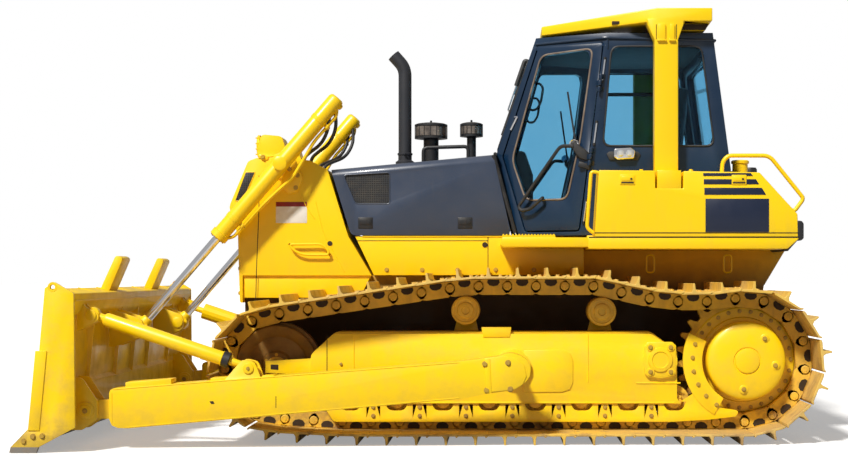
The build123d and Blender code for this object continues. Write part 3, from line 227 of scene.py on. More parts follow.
def noise(tree, place, scale, detail=3.0, roughness=0.55, stretch=None):
    """A noise texture on a place, which may be stretched first."""
    if stretch:
        mapping = tree.nodes.new("ShaderNodeMapping")
        mapping.inputs["Scale"].default_value = stretch
        tree.links.new(place, mapping.inputs["Vector"])
        place = mapping.outputs["Vector"]
    node = tree.nodes.new("ShaderNodeTexNoise")
    node.inputs["Scale"].default_value = scale
    node.inputs["Detail"].default_value = detail
    node.inputs["Roughness"].default_value = roughness
    tree.links.new(place, node.inputs["Vector"])
    return node.outputs["Fac"]


def ranged(tree, value, low, high, out_low=0.0, out_high=1.0):
    """A value moved from one range to another, and held there."""
    node = tree.nodes.new("ShaderNodeMapRange")
    for slot, number in zip(("From Min", "From Max", "To Min", "To Max"), (low, high, out_low, out_high)):
        node.inputs[slot].default_value = number
    tree.links.new(value, node.inputs["Value"])
    return node.outputs["Result"]


def arithmetic(tree, operation, first, second):
    """One sum on two values, each a socket or a number."""
    node = tree.nodes.new("ShaderNodeMath")
    node.operation = operation
    for slot, value in enumerate((first, second)):
        if isinstance(value, (int, float)):
            node.inputs[slot].default_value = value
        else:
            tree.links.new(value, node.inputs[slot])
    return node.outputs[0]


def blended(tree, share, first, second, mode="MIX"):
    """Two colours mixed by a share; each is a socket or a colour."""
    node = tree.nodes.new("ShaderNodeMix")
    node.data_type = "RGBA"
    node.blend_type = mode
    for slot, value in ((MIX_SHARE, share), (MIX_FIRST, first), (MIX_SECOND, second)):
        if isinstance(value, (int, float, tuple)):
            node.inputs[slot].default_value = value
        else:
            tree.links.new(value, node.inputs[slot])
    return node.outputs[MIX_RESULT]


def object_place(tree):
    """The place on the object, in metres."""
    return tree.nodes.new("ShaderNodeTexCoord").outputs["Object"]


def parts_of(tree, vector):
    """A vector's X, Y and Z."""
    node = tree.nodes.new("ShaderNodeSeparateXYZ")
    tree.links.new(vector, node.inputs[0])
    return node.outputs


def facing_parts(tree):
    """The X, Y and Z of the way that the surface faces."""
    return parts_of(tree, tree.nodes.new("ShaderNodeNewGeometry").outputs["Normal"])


def make_weathering():
    """Paint that has worked outdoors: faint fading, streaks, dust on ledges and low down, fine grit."""
    tree, given, result = new_group("weathering", [("Paint", "Color", (0.8, 0.6, 0.1, 1)),
                                                   ("Faded", "Color", (0.9, 0.7, 0.2, 1)),
                                                   ("Dust Colour", "Color", (0.5, 0.36, 0.2, 1)),
                                                   ("Dust", "Float", 0.3), ("Gloss", "Float", 0.3)],
                                    [("Colour", "Color"), ("Roughness", "Float"), ("Relief", "Float")])
    coordinates = object_place(tree)
    broad = noise(tree, coordinates, 1.1, 4, 0.6)
    patches = noise(tree, coordinates, 7, 5, 0.62)
    grit = noise(tree, coordinates, 90, 2, 0.5)
    streaks = noise(tree, coordinates, 9, 3, 0.55, stretch=(1, 1, 0.12))
    ledge = ranged(tree, facing_parts(tree)["Z"], 0.35, 0.95)
    low_down = ranged(tree, parts_of(tree, coordinates)["Z"], 0.1, 1.5, 1.0, 0.12)
    settled = arithmetic(tree, "MULTIPLY", ranged(tree, patches, 0.42, 0.68), low_down)
    on_ledges = arithmetic(tree, "MULTIPLY", ledge, ranged(tree, broad, 0.35, 0.65, 0.15, 0.7))
    run_off = arithmetic(tree, "MULTIPLY", ranged(tree, streaks, 0.56, 0.74), 0.45)
    dusty = arithmetic(tree, "MAXIMUM", settled, arithmetic(tree, "MAXIMUM", on_ledges, run_off))
    share = arithmetic(tree, "MULTIPLY", dusty, given.outputs["Dust"])
    paint = blended(tree, ranged(tree, broad, 0.38, 0.66, 0.0, 0.55), given.outputs["Paint"],
                    given.outputs["Faded"])
    tree.links.new(blended(tree, share, paint, given.outputs["Dust Colour"]), result.inputs["Colour"])
    rough = arithmetic(tree, "ADD", given.outputs["Gloss"], arithmetic(tree, "MULTIPLY", share, 0.45))
    rough = arithmetic(tree, "ADD", rough, ranged(tree, patches, 0.3, 0.7, -0.04, 0.06))
    tree.links.new(rough, result.inputs["Roughness"])
    grain, crust = arithmetic(tree, "MULTIPLY", grit, 0.25), arithmetic(tree, "MULTIPLY", share, 0.5)
    tree.links.new(arithmetic(tree, "ADD", grain, crust), result.inputs["Relief"])
    return tree


WEATHERING = make_weathering()


def new_material(name):
    """A material with its Principled shader: returns the material, its tree and the shader."""
    material = bpy.data.materials.new(name)
    material.use_nodes = True
    return material, material.node_tree, material.node_tree.nodes["Principled BSDF"]


def bumped(tree, shader, height, strength, distance=0.002):
    """Relief on the shader's normal."""
    bump = tree.nodes.new("ShaderNodeBump")
    bump.inputs["Strength"].default_value = strength
    bump.inputs["Distance"].default_value = distance
    tree.links.new(height, bump.inputs["Height"])
    tree.links.new(bump.outputs["Normal"], shader.inputs["Normal"])


def weathered(tree, *values):
    """The shared weathering on one paint: its colour, faded colour, dust colour, dust and gloss."""
    node = tree.nodes.new("ShaderNodeGroup")
    node.node_tree = WEATHERING
    for slot, value in zip(("Paint", "Faded", "Dust Colour", "Dust", "Gloss"), values):
        node.inputs[slot].default_value = value
    return node


def painted(name, paint, faded, dust_colour, dust, gloss, coat=0.0, metallic=0.0, relief=0.25):
    """Painted or bare steel that carries the shared weathering."""
    material, tree, shader = new_material(name)
    weather = weathered(tree, paint, faded, dust_colour, dust, gloss)
    tree.links.new(weather.outputs["Colour"], shader.inputs["Base Color"])
    tree.links.new(weather.outputs["Roughness"], shader.inputs["Roughness"])
    shader.inputs["Metallic"].default_value = metallic
    shader.inputs["Coat Weight"].default_value = coat
    shader.inputs["Coat Roughness"].default_value = 0.12
    bumped(tree, shader, weather.outputs["Relief"], relief)
    return material


def ragged_height(tree, scale, spread):
    """The height over the ground, made uneven by noise."""
    coordinates = object_place(tree)
    uneven = arithmetic(tree, "MULTIPLY", noise(tree, coordinates, scale), spread)
    return arithmetic(tree, "ADD", parts_of(tree, coordinates)["Z"], uneven)


def make_blade_paint():
    """Blade paint: sound on the back and ends, scoured and dusty on the face that meets the ground."""
    material, tree, shader = new_material("blade_paint")
    sound = weathered(tree, YELLOW, YELLOW_FADED, TAN_DUST, 0.4, 0.34)
    scoured = weathered(tree, tint(196, 164, 70), tint(150, 136, 108), tint(112, 92, 66), 0.9, 0.46)
    foot = ranged(tree, ragged_height(tree, 9, 0.3), 0.22, 0.36, 1.0, 0.0)
    front = ranged(tree, facing_parts(tree)["X"], 0.35, 0.7)
    share = arithmetic(tree, "MAXIMUM", front, arithmetic(tree, "MULTIPLY", foot, 0.6))
    colour = blended(tree, share, sound.outputs["Colour"], scoured.outputs["Colour"])
    tree.links.new(colour, shader.inputs["Base Color"])
    tree.links.new(sound.outputs["Roughness"], shader.inputs["Roughness"])
    shader.inputs["Coat Weight"].default_value = 0.1
    bumped(tree, shader, scoured.outputs["Relief"], 0.4)
    return material


def make_hull_paint():
    """Hull paint: sound under the platform, dark between the tracks: partly grease and earth, partly painted
    shade from the tracks and the platform above.
    """
    material, tree, shader = new_material("hull_paint")
    sound = weathered(tree, tint(226, 170, 10), tint(200, 150, 20), TAN_DUST, 0.3, 0.42)
    grime_and_shade = weathered(tree, tint(74, 50, 14), tint(50, 38, 20), tint(84, 66, 44), 0.9, 0.6)
    # painted shade and grime: the hull darkens below about 1.36 m and is fully dark under 1.10 m
    share = ranged(tree, ragged_height(tree, 6, 0.2), 1.10, 1.36, 1.0, 0.0)
    colour = blended(tree, share, sound.outputs["Colour"], grime_and_shade.outputs["Colour"])
    tree.links.new(colour, shader.inputs["Base Color"])
    tree.links.new(grime_and_shade.outputs["Roughness"], shader.inputs["Roughness"])
    bumped(tree, shader, grime_and_shade.outputs["Relief"], 0.4)
    return material


def make_glass():
    """Blue-tinted safety glass with faint dust."""
    material, tree, shader = new_material("tinted_glass")
    coordinates = object_place(tree)
    dust = noise(tree, coordinates, 5, 4, 0.6)
    colour = blended(tree, ranged(tree, dust, 0.35, 0.75, 0, 0.35), (0.32, 0.60, 0.76, 1),
                     (0.40, 0.64, 0.76, 1))
    tree.links.new(colour, shader.inputs["Base Color"])
    tree.links.new(ranged(tree, dust, 0.4, 0.8, 0.01, 0.06), shader.inputs["Roughness"])
    shader.inputs["Metallic"].default_value = 0.0
    shader.inputs["Transmission Weight"].default_value = 1.0
    shader.inputs["IOR"].default_value = 1.2
    return material


def make_lamp_glass():
    """A ribbed clear lens over a pale reflector."""
    material, tree, shader = new_material("lamp_lens")
    coordinates = object_place(tree)
    wave = tree.nodes.new("ShaderNodeTexWave")
    wave.inputs["Scale"].default_value = 22
    wave.bands_direction = "Y"
    tree.links.new(coordinates, wave.inputs["Vector"])
    colour = blended(tree, wave.outputs["Fac"], (0.62, 0.66, 0.7, 1), (0.92, 0.94, 0.95, 1))
    tree.links.new(colour, shader.inputs["Base Color"])
    shader.inputs["Roughness"].default_value = 0.08
    shader.inputs["Metallic"].default_value = 0.6
    bumped(tree, shader, wave.outputs["Fac"], 0.5, 0.004)
    return material


def make_chrome():
    """Hard chrome with fine rings and a film of oil and dust."""
    material, tree, shader = new_material("chrome")
    coordinates = object_place(tree)
    film = noise(tree, coordinates, 14, 4, 0.6)
    fine = noise(tree, coordinates, 160, 2, 0.5)
    share = ranged(tree, film, 0.45, 0.75, 0, 0.4)
    colour = blended(tree, share, (0.86, 0.87, 0.9, 1), (0.66, 0.62, 0.56, 1))
    tree.links.new(colour, shader.inputs["Base Color"])
    tree.links.new(ranged(tree, film, 0.3, 0.8, 0.07, 0.2), shader.inputs["Roughness"])
    shader.inputs["Metallic"].default_value = 1.0
    bumped(tree, shader, fine, 0.06, 0.0008)
    return material


def make_mesh_screen():
    """Black sheet steel with rows of round holes painted near-black: painted shade for the dark space seen
    through them.
    """
    material, tree, shader = new_material("pierced_sheet")
    coordinates = object_place(tree)
    mapping = tree.nodes.new("ShaderNodeMapping")
    mapping.inputs["Scale"].default_value = (62, 0.001, 62)
    tree.links.new(coordinates, mapping.inputs["Vector"])
    cells = tree.nodes.new("ShaderNodeTexVoronoi")
    cells.inputs["Scale"].default_value = 1.0
    cells.inputs["Randomness"].default_value = 0.0
    tree.links.new(mapping.outputs["Vector"], cells.inputs["Vector"])
    # painted shade: near-black in the holes
    hole = ranged(tree, cells.outputs["Distance"], 0.30, 0.36)
    dust = noise(tree, coordinates, 12, 4, 0.6)
    steel = blended(tree, ranged(tree, dust, 0.4, 0.7), tint(40, 43, 48), tint(66, 64, 60))
    tree.links.new(blended(tree, hole, (0.002, 0.002, 0.003, 1), steel), shader.inputs["Base Color"])
    shader.inputs["Roughness"].default_value = 0.5
    bumped(tree, shader, hole, 0.8, 0.003)
    return material


def make_rubber(name, dark, light, weave):
    """Black rubber or plastic: fine grain, dusty high spots."""
    material, tree, shader = new_material(name)
    coordinates = object_place(tree)
    dust = noise(tree, coordinates, 11, 4, 0.6)
    grain = noise(tree, coordinates, weave, 2, 0.5)
    tree.links.new(blended(tree, ranged(tree, dust, 0.42, 0.75), dark, light), shader.inputs["Base Color"])
    tree.links.new(ranged(tree, dust, 0.3, 0.8, 0.42, 0.7), shader.inputs["Roughness"])
    bumped(tree, shader, grain, 0.35, 0.0015)
    return material


def make_smoked_bowl():
    """A smoky, shiny bowl with dust lying inside it."""
    material, tree, shader = new_material("smoked_bowl")
    coordinates = object_place(tree)
    dust = noise(tree, coordinates, 16, 4, 0.6)
    colour = blended(tree, ranged(tree, dust, 0.35, 0.7), tint(96, 88, 84), tint(178, 166, 154))
    tree.links.new(colour, shader.inputs["Base Color"])
    shader.inputs["Roughness"].default_value = 0.2
    shader.inputs["Metallic"].default_value = 0.6
    bumped(tree, shader, dust, 0.1, 0.001)
    return material


def make_seat_cloth():
    """Dark woven seat cloth."""
    material, tree, shader = new_material("seat_cloth")
    coordinates = object_place(tree)
    weave = tree.nodes.new("ShaderNodeTexChecker")
    weave.inputs["Scale"].default_value = 260
    weave.inputs["Color1"].default_value = tint(46, 50, 56)
    weave.inputs["Color2"].default_value = tint(30, 33, 38)
    tree.links.new(coordinates, weave.inputs["Vector"])
    rub = noise(tree, coordinates, 6, 3, 0.5)
    tree.links.new(blended(tree, ranged(tree, rub, 0.4, 0.7, 0, 0.5), weave.outputs["Color"],
                           tint(70, 72, 76)), shader.inputs["Base Color"])
    shader.inputs["Roughness"].default_value = 0.85
    shader.inputs["Sheen Weight"].default_value = 0.3
    bumped(tree, shader, weave.outputs["Fac"], 0.4, 0.001)
    return material


def make_sign():
    """A blank white plate with a dark red band across its top and a thin dark edge."""
    material, tree, shader = new_material("blank_sign")
    coordinates = object_place(tree)
    band = ranged(tree, parts_of(tree, coordinates)["Z"], SIGN_BAND_Z, SIGN_BAND_Z + 0.002)
    dirt = noise(tree, coordinates, 18, 4, 0.6)
    plate = blended(tree, ranged(tree, dirt, 0.45, 0.75, 0, 0.3), tint(236, 234, 228), tint(190, 180, 160))
    tree.links.new(blended(tree, band, plate, tint(140, 34, 28)), shader.inputs["Base Color"])
    tree.links.new(ranged(tree, dirt, 0.3, 0.8, 0.3, 0.5), shader.inputs["Roughness"])
    return material


YELLOW = tint(255, 212, 0)
YELLOW_FADED = tint(255, 218, 4)
TAN_DUST = tint(170, 138, 92)
SIGN_BAND_Z = 1.652
STEEL = {
    "yellow": painted("yellow_paint", YELLOW, YELLOW_FADED, TAN_DUST, 0.24, 0.36, coat=0.08),
    "track": painted("track_yellow", tint(238, 192, 40), tint(222, 180, 84), tint(150, 116, 70), 0.95, 0.5,
                     relief=0.5),
    "grouser": painted("worn_shoe", tint(232, 190, 70), tint(214, 186, 130), tint(160, 128, 84), 0.9, 0.48,
                       relief=0.5),
    "hood": painted("hood_grey", tint(50, 62, 84), tint(62, 74, 98), tint(120, 112, 98), 0.3, 0.36, coat=0.2),
    "cab": painted("cab_navy", tint(8, 36, 62), tint(16, 46, 74), tint(84, 90, 98), 0.1, 0.3, coat=0.12),
    "stripe": painted("stripe_navy", tint(10, 24, 50), tint(14, 30, 58), tint(70, 72, 84), 0.12, 0.36,
                      coat=0.1),
    "black": painted("black_paint", tint(24, 26, 30), tint(34, 36, 40), tint(110, 98, 80), 0.4, 0.42),
    "iron": painted("cast_iron", tint(58, 56, 54), tint(70, 66, 60), tint(104, 88, 66), 0.7, 0.6, relief=0.6),
    "soot": painted("sooted_steel", tint(34, 38, 46), tint(44, 44, 48), tint(70, 58, 50), 0.4, 0.5),
    "bare": painted("worn_edge", tint(150, 146, 140), tint(172, 168, 160), tint(130, 106, 76), 0.75, 0.36,
                    metallic=0.85, relief=0.5),
    "bolt": painted("bolt_steel", tint(196, 160, 52), tint(178, 150, 70), tint(140, 110, 70), 0.8, 0.42,
                    metallic=0.2),
    "shade": painted("deep_shade", tint(46, 30, 10), tint(40, 26, 8), tint(60, 44, 24), 0.5, 0.7, relief=0.3),
    # painted shade: the idler wheels' paint is darkened for the shade that the track casts over their
    # recessed web
    "idler": painted("idler_painted_shade", tint(150, 108, 26), tint(120, 88, 34), tint(92, 70, 44), 0.9, 0.5,
                     relief=0.4),
}
BLADE_PAINT = make_blade_paint()
HULL_PAINT = make_hull_paint()
GLASS = make_glass()
LENS = make_lamp_glass()
CHROME = make_chrome()
SCREEN = make_mesh_screen()
RUBBER = make_rubber("hose_rubber", tint(22, 22, 24), tint(58, 54, 50), 300)
PLASTIC = make_rubber("black_plastic", tint(26, 27, 30), tint(52, 52, 52), 500)
SEAL = make_rubber("window_seal", tint(24, 25, 28), tint(58, 58, 58), 420)
GASKET = make_rubber("door_gasket", tint(112, 98, 86), tint(146, 130, 114), 420)
SMOKE = make_smoked_bowl()
CLOTH = make_seat_cloth()
SIGN = make_sign()

# ---- shaping helpers ---------------------------------------------------------------------
SHARP_ANGLE = 28
SMOOTH_ANGLE = 32
FLAT_ANGLE = 0.6
WELD_GAP = 0.00005


def new_piece(shape, name, material):
    """A smooth-shaded object from a shape in metres."""
    mesh = bpy.data.meshes.new(name)
    shape.to_mesh(mesh)
    shape.free()
    mesh.polygons.foreach_set("use_smooth", [True] * len(mesh.polygons))
    mesh.materials.append(material)
    piece = bpy.data.objects.new(name, mesh)
    bpy.context.scene.collection.objects.link(piece)
    return piece


def keep(shape, name, material, body, replaces=(), smooth=SMOOTH_ANGLE):
    """Turns a shape in millimetres into a finished piece that rides on a body."""
    bmesh.ops.scale(shape, vec=(TO_METRES,) * 3, verts=shape.verts)
    return keep_metres(shape, name, material, body, replaces, smooth)


def keep_metres(shape, name, material, body, replaces=(), smooth=SMOOTH_ANGLE):
    """Turns a shape in metres into a finished piece that rides on a body."""
    piece = new_piece(shape, name, material)
    piece.data.set_sharp_from_angle(angle=radians(smooth))
    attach(piece, body)
    if replaces:
        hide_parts(*replaces)
    return piece


def axes_at(place, direction):
    """The matrix that stands a shape made along +Z at a place, along a direction."""
    turn = Vector(direction).to_track_quat("Z", "Y").to_matrix().to_4x4()
    return Matrix.Translation(Vector(place)) @ turn


def eased(shape, faces, width, segments=2):
    """Rounds the sharp edges of a set of faces."""
    edges = dict.fromkeys(edge for face in faces for edge in face.edges)
    paired = [edge for edge in edges if len(edge.link_faces) == 2]
    sharp = [edge for edge in paired if edge.calc_face_angle(0) > radians(SHARP_ANGLE)]
    if sharp and width:
        bmesh.ops.bevel(shape, geom=sharp, offset=width, offset_type="OFFSET", segments=segments,
                        profile=0.5, affect="EDGES", clamp_overlap=True, material=-1)


def add_block(shape, low, high, edge=3, turn=None):
    """A box between two corners, with eased edges; turn is a matrix put on afterwards."""
    low, high = Vector(low), Vector(high)
    part = bmesh.new()
    size = Matrix.Diagonal((*(high - low), 1))
    bmesh.ops.create_cube(part, size=1, matrix=Matrix.Translation((low + high) / 2) @ size)
    eased(part, part.faces[:], edge)
    if turn:
        bmesh.ops.transform(part, matrix=turn, verts=part.verts)
    take_in(shape, part)


def take_in(shape, part):
    """Adds one shape to another."""
    bmesh.ops.recalc_face_normals(part, faces=part.faces)
    mesh = bpy.data.meshes.new("part")
    part.to_mesh(mesh)
    part.free()
    shape.from_mesh(mesh)
    bpy.data.meshes.remove(mesh)


def add_plate(shape, rows, low, high, edge=3, along="Y", segments=2):
    """A plate from its outline: rows are (x, z) along Y, (y, z) along X or (x, y) along Z."""
    part = bmesh.new()
    low, high = sorted((low, high))
    if along == "Y":
        corners = [(u, low, v) for u, v in rows]
    elif along == "X":
        corners = [(low, u, v) for u, v in rows]
    else:
        corners = [(u, v, low) for u, v in rows]
    face = part.faces.new([part.verts.new(corner) for corner in corners])
    grown = bmesh.ops.extrude_face_region(part, geom=[face])
    moved = [item for item in grown["geom"] if isinstance(item, bmesh.types.BMVert)]
    step = {"X": X, "Y": Y, "Z": Z}[along] * (high - low)
    bmesh.ops.translate(part, vec=step, verts=moved)
    bmesh.ops.recalc_face_normals(part, faces=part.faces)
    eased(part, part.faces[:], edge, segments)
    take_in(shape, part)


def add_side_plate(shape, rows, side, near, far, edge=3, segments=2):
    """A plate on one side of the machine, between two distances from its middle."""
    add_plate(shape, rows, side * near, side * far, edge, segments=segments)


def oblong(left, right, low, high):
    """The four corners of an upright rectangle."""
    return [(left, low), (right, low), (right, high), (left, high)]


def round_spots(centre, radius, angles, y):
    """Places round a centre (x, z) at angles in degrees, at one Y."""
    turns = [radians(angle) for angle in angles]
    return [Vector((centre[0] + radius * cos(turn), y, centre[1] + radius * sin(turn))) for turn in turns]


def add_turned(shape, rows, place, direction, steps=32):
    """A turned shape: rows of (radius, distance along the axis) from one end to the other."""
    part = bmesh.new()
    line = [part.verts.new((radius, 0, distance)) for radius, distance in rows]
    edges = [part.edges.new(pair) for pair in zip(line, line[1:])]
    bmesh.ops.spin(part, geom=line + edges, cent=(0, 0, 0), axis=(0, 0, 1), angle=2 * pi, steps=steps,
                   use_merge=True)
    bmesh.ops.remove_doubles(part, verts=part.verts, dist=0.01)
    bmesh.ops.transform(part, matrix=axes_at(place, direction), verts=part.verts)
    take_in(shape, part)


def add_bolt(shape, place, direction, radius=14, height=10):
    """A hexagon bolt head on a washer."""
    matrix = axes_at(place, direction)
    part = bmesh.new()
    washer = 3
    bmesh.ops.create_cone(part, cap_ends=True, segments=12, radius1=radius * 1.35, radius2=radius * 1.25,
                          depth=washer, matrix=matrix @ Matrix.Translation((0, 0, washer / 2)))
    bmesh.ops.create_cone(part, cap_ends=True, segments=6, radius1=radius, radius2=radius * 0.94,
                          depth=height, matrix=matrix @ Matrix.Translation((0, 0, washer + height / 2)))
    take_in(shape, part)


def node_shape(node):
    """A closed copy of a part's node, in metres."""
    shape = bmesh.new()
    shape.from_mesh(frame["nodes"][node].data)
    bmesh.ops.remove_doubles(shape, verts=shape.verts, dist=WELD_GAP)
    return shape


def plain_faces(shape):
    """Joins the triangles that lie in one plane."""
    bmesh.ops.dissolve_limit(shape, angle_limit=radians(FLAT_ANGLE), verts=shape.verts, edges=shape.edges)


def softened(node, material, width=5, segments=2):
    """A stand-in for a part's node with its sharp edges rounded."""
    shape = node_shape(node)
    plain_faces(shape)
    eased(shape, shape.faces[:], width * TO_METRES, segments)
    return keep_metres(shape, node + "_skin", material, BODY_OF[node], replaces=(node,))


def add_side_bolts(shape, places, y, side, radius, height):
    """Bolt heads on a face that looks sideways, at rows of (x, z)."""
    for x, z in places:
        add_bolt(shape, (x, y, z), Y * side, radius, height)


def along(start, end, distance):
    """The point some way from the start towards the end."""
    start, end = Vector(start), Vector(end)
    return start + (end - start).normalized() * distance


def dress(node, material):
    """Gives a part's own node its finish."""
    data = frame["nodes"][node].data
    data.materials.clear()
    data.materials.append(material)

# ---- the lift cylinders' hoses -----------------------------------------------------------
HOSE_RADIUS = 13
LIFT_RUN = Vector((LIFT_EYE[0] - LIFT_TRUNNION[0], 0, LIFT_EYE[1] - LIFT_TRUNNION[1])).normalized()


def lift_point(distance, side=LEFT):
    """A point on a lift cylinder's axis, measured from its trunnion towards the blade."""
    start = Vector((LIFT_TRUNNION[0], side * LIFT_Y, LIFT_TRUNNION[1]))
    return start + LIFT_RUN * distance


def hose_line(points, steps=10):
    """The smooth centreline through a hose's control points, in metres."""
    curve = bpy.data.curves.new("line", "CURVE")
    curve.dimensions = "3D"
    curve.resolution_u = steps
    spline = curve.splines.new("NURBS")
    spline.points.add(len(points) - 1)
    for control, point in zip(spline.points, points):
        control.co = (*(value * TO_METRES for value in point), 1)
    spline.order_u = 3
    spline.use_endpoint_u = True
    holder = bpy.data.objects.new("line", curve)
    mesh = bpy.data.meshes.new_from_object(holder)
    line = [vertex.co.copy() for vertex in mesh.vertices]
    bpy.data.objects.remove(holder)
    bpy.data.curves.remove(curve)
    bpy.data.meshes.remove(mesh)
    return line


def ring_edges(ring):
    """The edges that join the corners of a ring."""
    found = dict.fromkeys(edge for vertex in ring for edge in vertex.link_edges)
    return [edge for edge in found if all(vertex in ring for vertex in edge.verts)]


def rings_along(shape, line, radius, sides):
    """Rings square to a line, one at each of its points."""
    rings = []
    for index, point in enumerate(line):
        before, after = line[max(index - 1, 0)], line[min(index + 1, len(line) - 1)]
        matrix = axes_at(point, after - before)
        ring = bmesh.ops.create_circle(shape, segments=sides, radius=radius, matrix=matrix)
        rings.append(ring["verts"])
    return rings


def swept(shape, line, radius, sides=12):
    """A tube with closed ends that follows a line."""
    rings = rings_along(shape, line, radius, sides)
    for first, second in zip(rings, rings[1:]):
        bmesh.ops.bridge_loops(shape, edges=ring_edges(first) + ring_edges(second))
    for ring in (rings[0], rings[-1]):
        bmesh.ops.contextual_create(shape, geom=ring_edges(ring))
    bmesh.ops.recalc_face_normals(shape, faces=shape.faces)


HOSE_EXIT_Z = 1985
HOSE_ROWS = (("outer", 1000, 470, 735), ("inner", 950, 430, 700))


def lay_hoses():
    """Two hoses a side from the guard's top to the lift cylinder's tail."""
    for side, label in SIDES:
        tail = lift_point(-600, side)
        for place, start_x, start_y, end_y in HOSE_ROWS:
            top = HOSE_EXIT_Z
            points = [(start_x, start_y, top - 20), (start_x, start_y, top + 30),
                      (start_x - 60, start_y + 80, top + 70), (start_x - 150, start_y + 190, top + 115),
                      (start_x - 205, start_y + 232, top + 210), (start_x - 215, end_y - 10, top + 300),
                      (tail.x + 10, end_y, tail.z - 12)]
            points = [(x, side * y, z) for x, y, z in points]
            line = hose_line(points)
            shape = bmesh.new()
            swept(shape, line, HOSE_RADIUS * TO_METRES)
            hose = new_piece(shape, f"lift_hose_{place}_{label}", RUBBER)
            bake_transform(hose)
            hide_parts(f"lift_hoses_{label}")


lay_hoses()

# ---- rods, rails and seams ---------------------------------------------------------------
def rounded_line(points, radius, steps=5, closed=False):
    """A line through points with each corner rounded."""
    points = [Vector(point) for point in points]
    count = len(points)
    line = [] if closed else [points[0]]
    corners = range(count) if closed else range(1, count - 1)
    for index in corners:
        before, corner, after = points[index - 1], points[index], points[(index + 1) % count]
        reach = min(radius, (before - corner).length * 0.45, (after - corner).length * 0.45)
        start, end = along(corner, before, reach), along(corner, after, reach)
        for step in range(steps + 1):
            share = step / steps
            line.append(start.lerp(corner, share).lerp(corner.lerp(end, share), share))
    return line + [line[0].copy()] if closed else line + [points[-1]]


def add_rod(shape, points, radius, corner=40, sides=10, closed=False):
    """A bent round bar through points."""
    part = bmesh.new()
    swept(part, rounded_line(points, corner, closed=closed), radius, sides)
    take_in(shape, part)


def add_bead(shape, rows, y, radius=4, corner=1, sides=6):
    """A thin bead on a face that looks sideways, through rows of (x, z)."""
    add_rod(shape, [(x, y, z) for x, z in rows], radius, corner, sides)


def add_ring(shape, rows, y, radius, corner=60, sides=8):
    """A closed bead round an outline in X and Z; y is a number or gives Y for each corner."""
    points = [(x, y(x, z) if callable(y) else y, z) for x, z in rows]
    add_rod(shape, points, radius, corner, sides, closed=True)

# ---- tracks ------------------------------------------------------------------------------
IDLER_STEPS, SLACK_STEPS, FIT_ROUNDS = 60, 24, 40
WRAP_STEP_ANGLE = 3


def sprocket_point(angle):
    """A place on the sprocket's pin circle, in X and Z."""
    return Vector((SPROCKET[0] + SPROCKET_PIN_RADIUS * cos(angle),
                   SPROCKET[1] + SPROCKET_PIN_RADIUS * sin(angle)))


def tangent_angle(point, side):
    """The angle on the idler where a straight run from a point touches its pin circle."""
    away = Vector(point) - Vector(IDLER)
    reach = (away.length**2 - IDLER_PIN_RADIUS**2) ** 0.5
    return atan2(away.y, away.x) + side * atan2(reach, IDLER_PIN_RADIUS)


def pin_path(sag):
    """The pins' line from the sprocket's foot round the idler and back, slack at its rear."""
    front = Vector((FRONT_ROLLER_X, PIN_HEIGHT))
    first, last = (Vector((x, CARRIER_PINS_Z)) for x in CARRIER_XS)
    low, high = tangent_angle(front, 1), tangent_angle(first, -1)
    while low > high:
        low -= 2 * pi
    path = [sprocket_point(FIRST_PIN_ANGLE + LINK_ANGLE * (PINS_ON_SPROCKET - 1)),
            Vector((SPROCKET[0] + LINK_PITCH / 4, PIN_HEIGHT)), front]
    for index in range(IDLER_STEPS + 1):
        angle = low + (high - low) * index / IDLER_STEPS
        path.append(Vector(IDLER) + IDLER_PIN_RADIUS * Vector((cos(angle), sin(angle))))
    path.append(first)
    lift_off = sprocket_point(radians(SLACK_START_ANGLE))
    for index in range(SLACK_STEPS + 1):
        share = index / SLACK_STEPS
        path.append(last.lerp(lift_off, share) - Vector((0, 4 * sag * share * (1 - share))))
    for angle in range(SLACK_START_ANGLE + WRAP_STEP_ANGLE, 109, WRAP_STEP_ANGLE):
        path.append(sprocket_point(radians(angle)))
    return path + [sprocket_point(FIRST_PIN_ANGLE)]


def step_along(path, count):
    """Points one pitch apart along a path, and how much path is left over."""
    steps, segment = [path[0]], 0
    while len(steps) <= count and segment < len(path) - 1:
        begin, end, here = path[segment], path[segment + 1], steps[-1]
        if (end - here).length < LINK_PITCH:
            segment += 1
            continue
        run = (end - begin).normalized()
        nearest = begin + run * (here - begin).dot(run)
        steps.append(nearest + run * (LINK_PITCH**2 - (here - nearest).length ** 2) ** 0.5)
    return steps, (path[-1] - steps[-1]).length - (count + 1 - len(steps)) * LINK_PITCH


def track_pins():
    """All pins of the closed loop, with the sag that makes its links fit."""
    count = LINK_COUNT - PINS_ON_SPROCKET + 1
    low, high = 0.0, 400.0
    for _ in range(FIT_ROUNDS):
        sag = (low + high) / 2
        steps, excess = step_along(pin_path(sag), count)
        if excess < 0 or len(steps) <= count:
            low = sag
        else:
            high = sag
    held = [sprocket_point(FIRST_PIN_ANGLE + LINK_ANGLE * index) for index in range(PINS_ON_SPROCKET)]
    return held + steps[1:count]


def link_matrices():
    """For each link: X along it from its first pin, Y to the machine's left and Z outward."""
    pins = track_pins()
    matrices = []
    for pin, after in zip(pins, pins[1:] + pins[:1]):
        run = (after - pin).normalized()
        matrix = Matrix(((run.x, 0, run.y, pin.x), (0, 1, 0, 0), (run.y, 0, -run.x, pin.y), (0, 0, 0, 1)))
        matrices.append(matrix)
    return matrices


LINKS = link_matrices()


LINK_INNER_Y, LINK_OUTER_Y = 62, 106
PLATE_TOP = 66.5


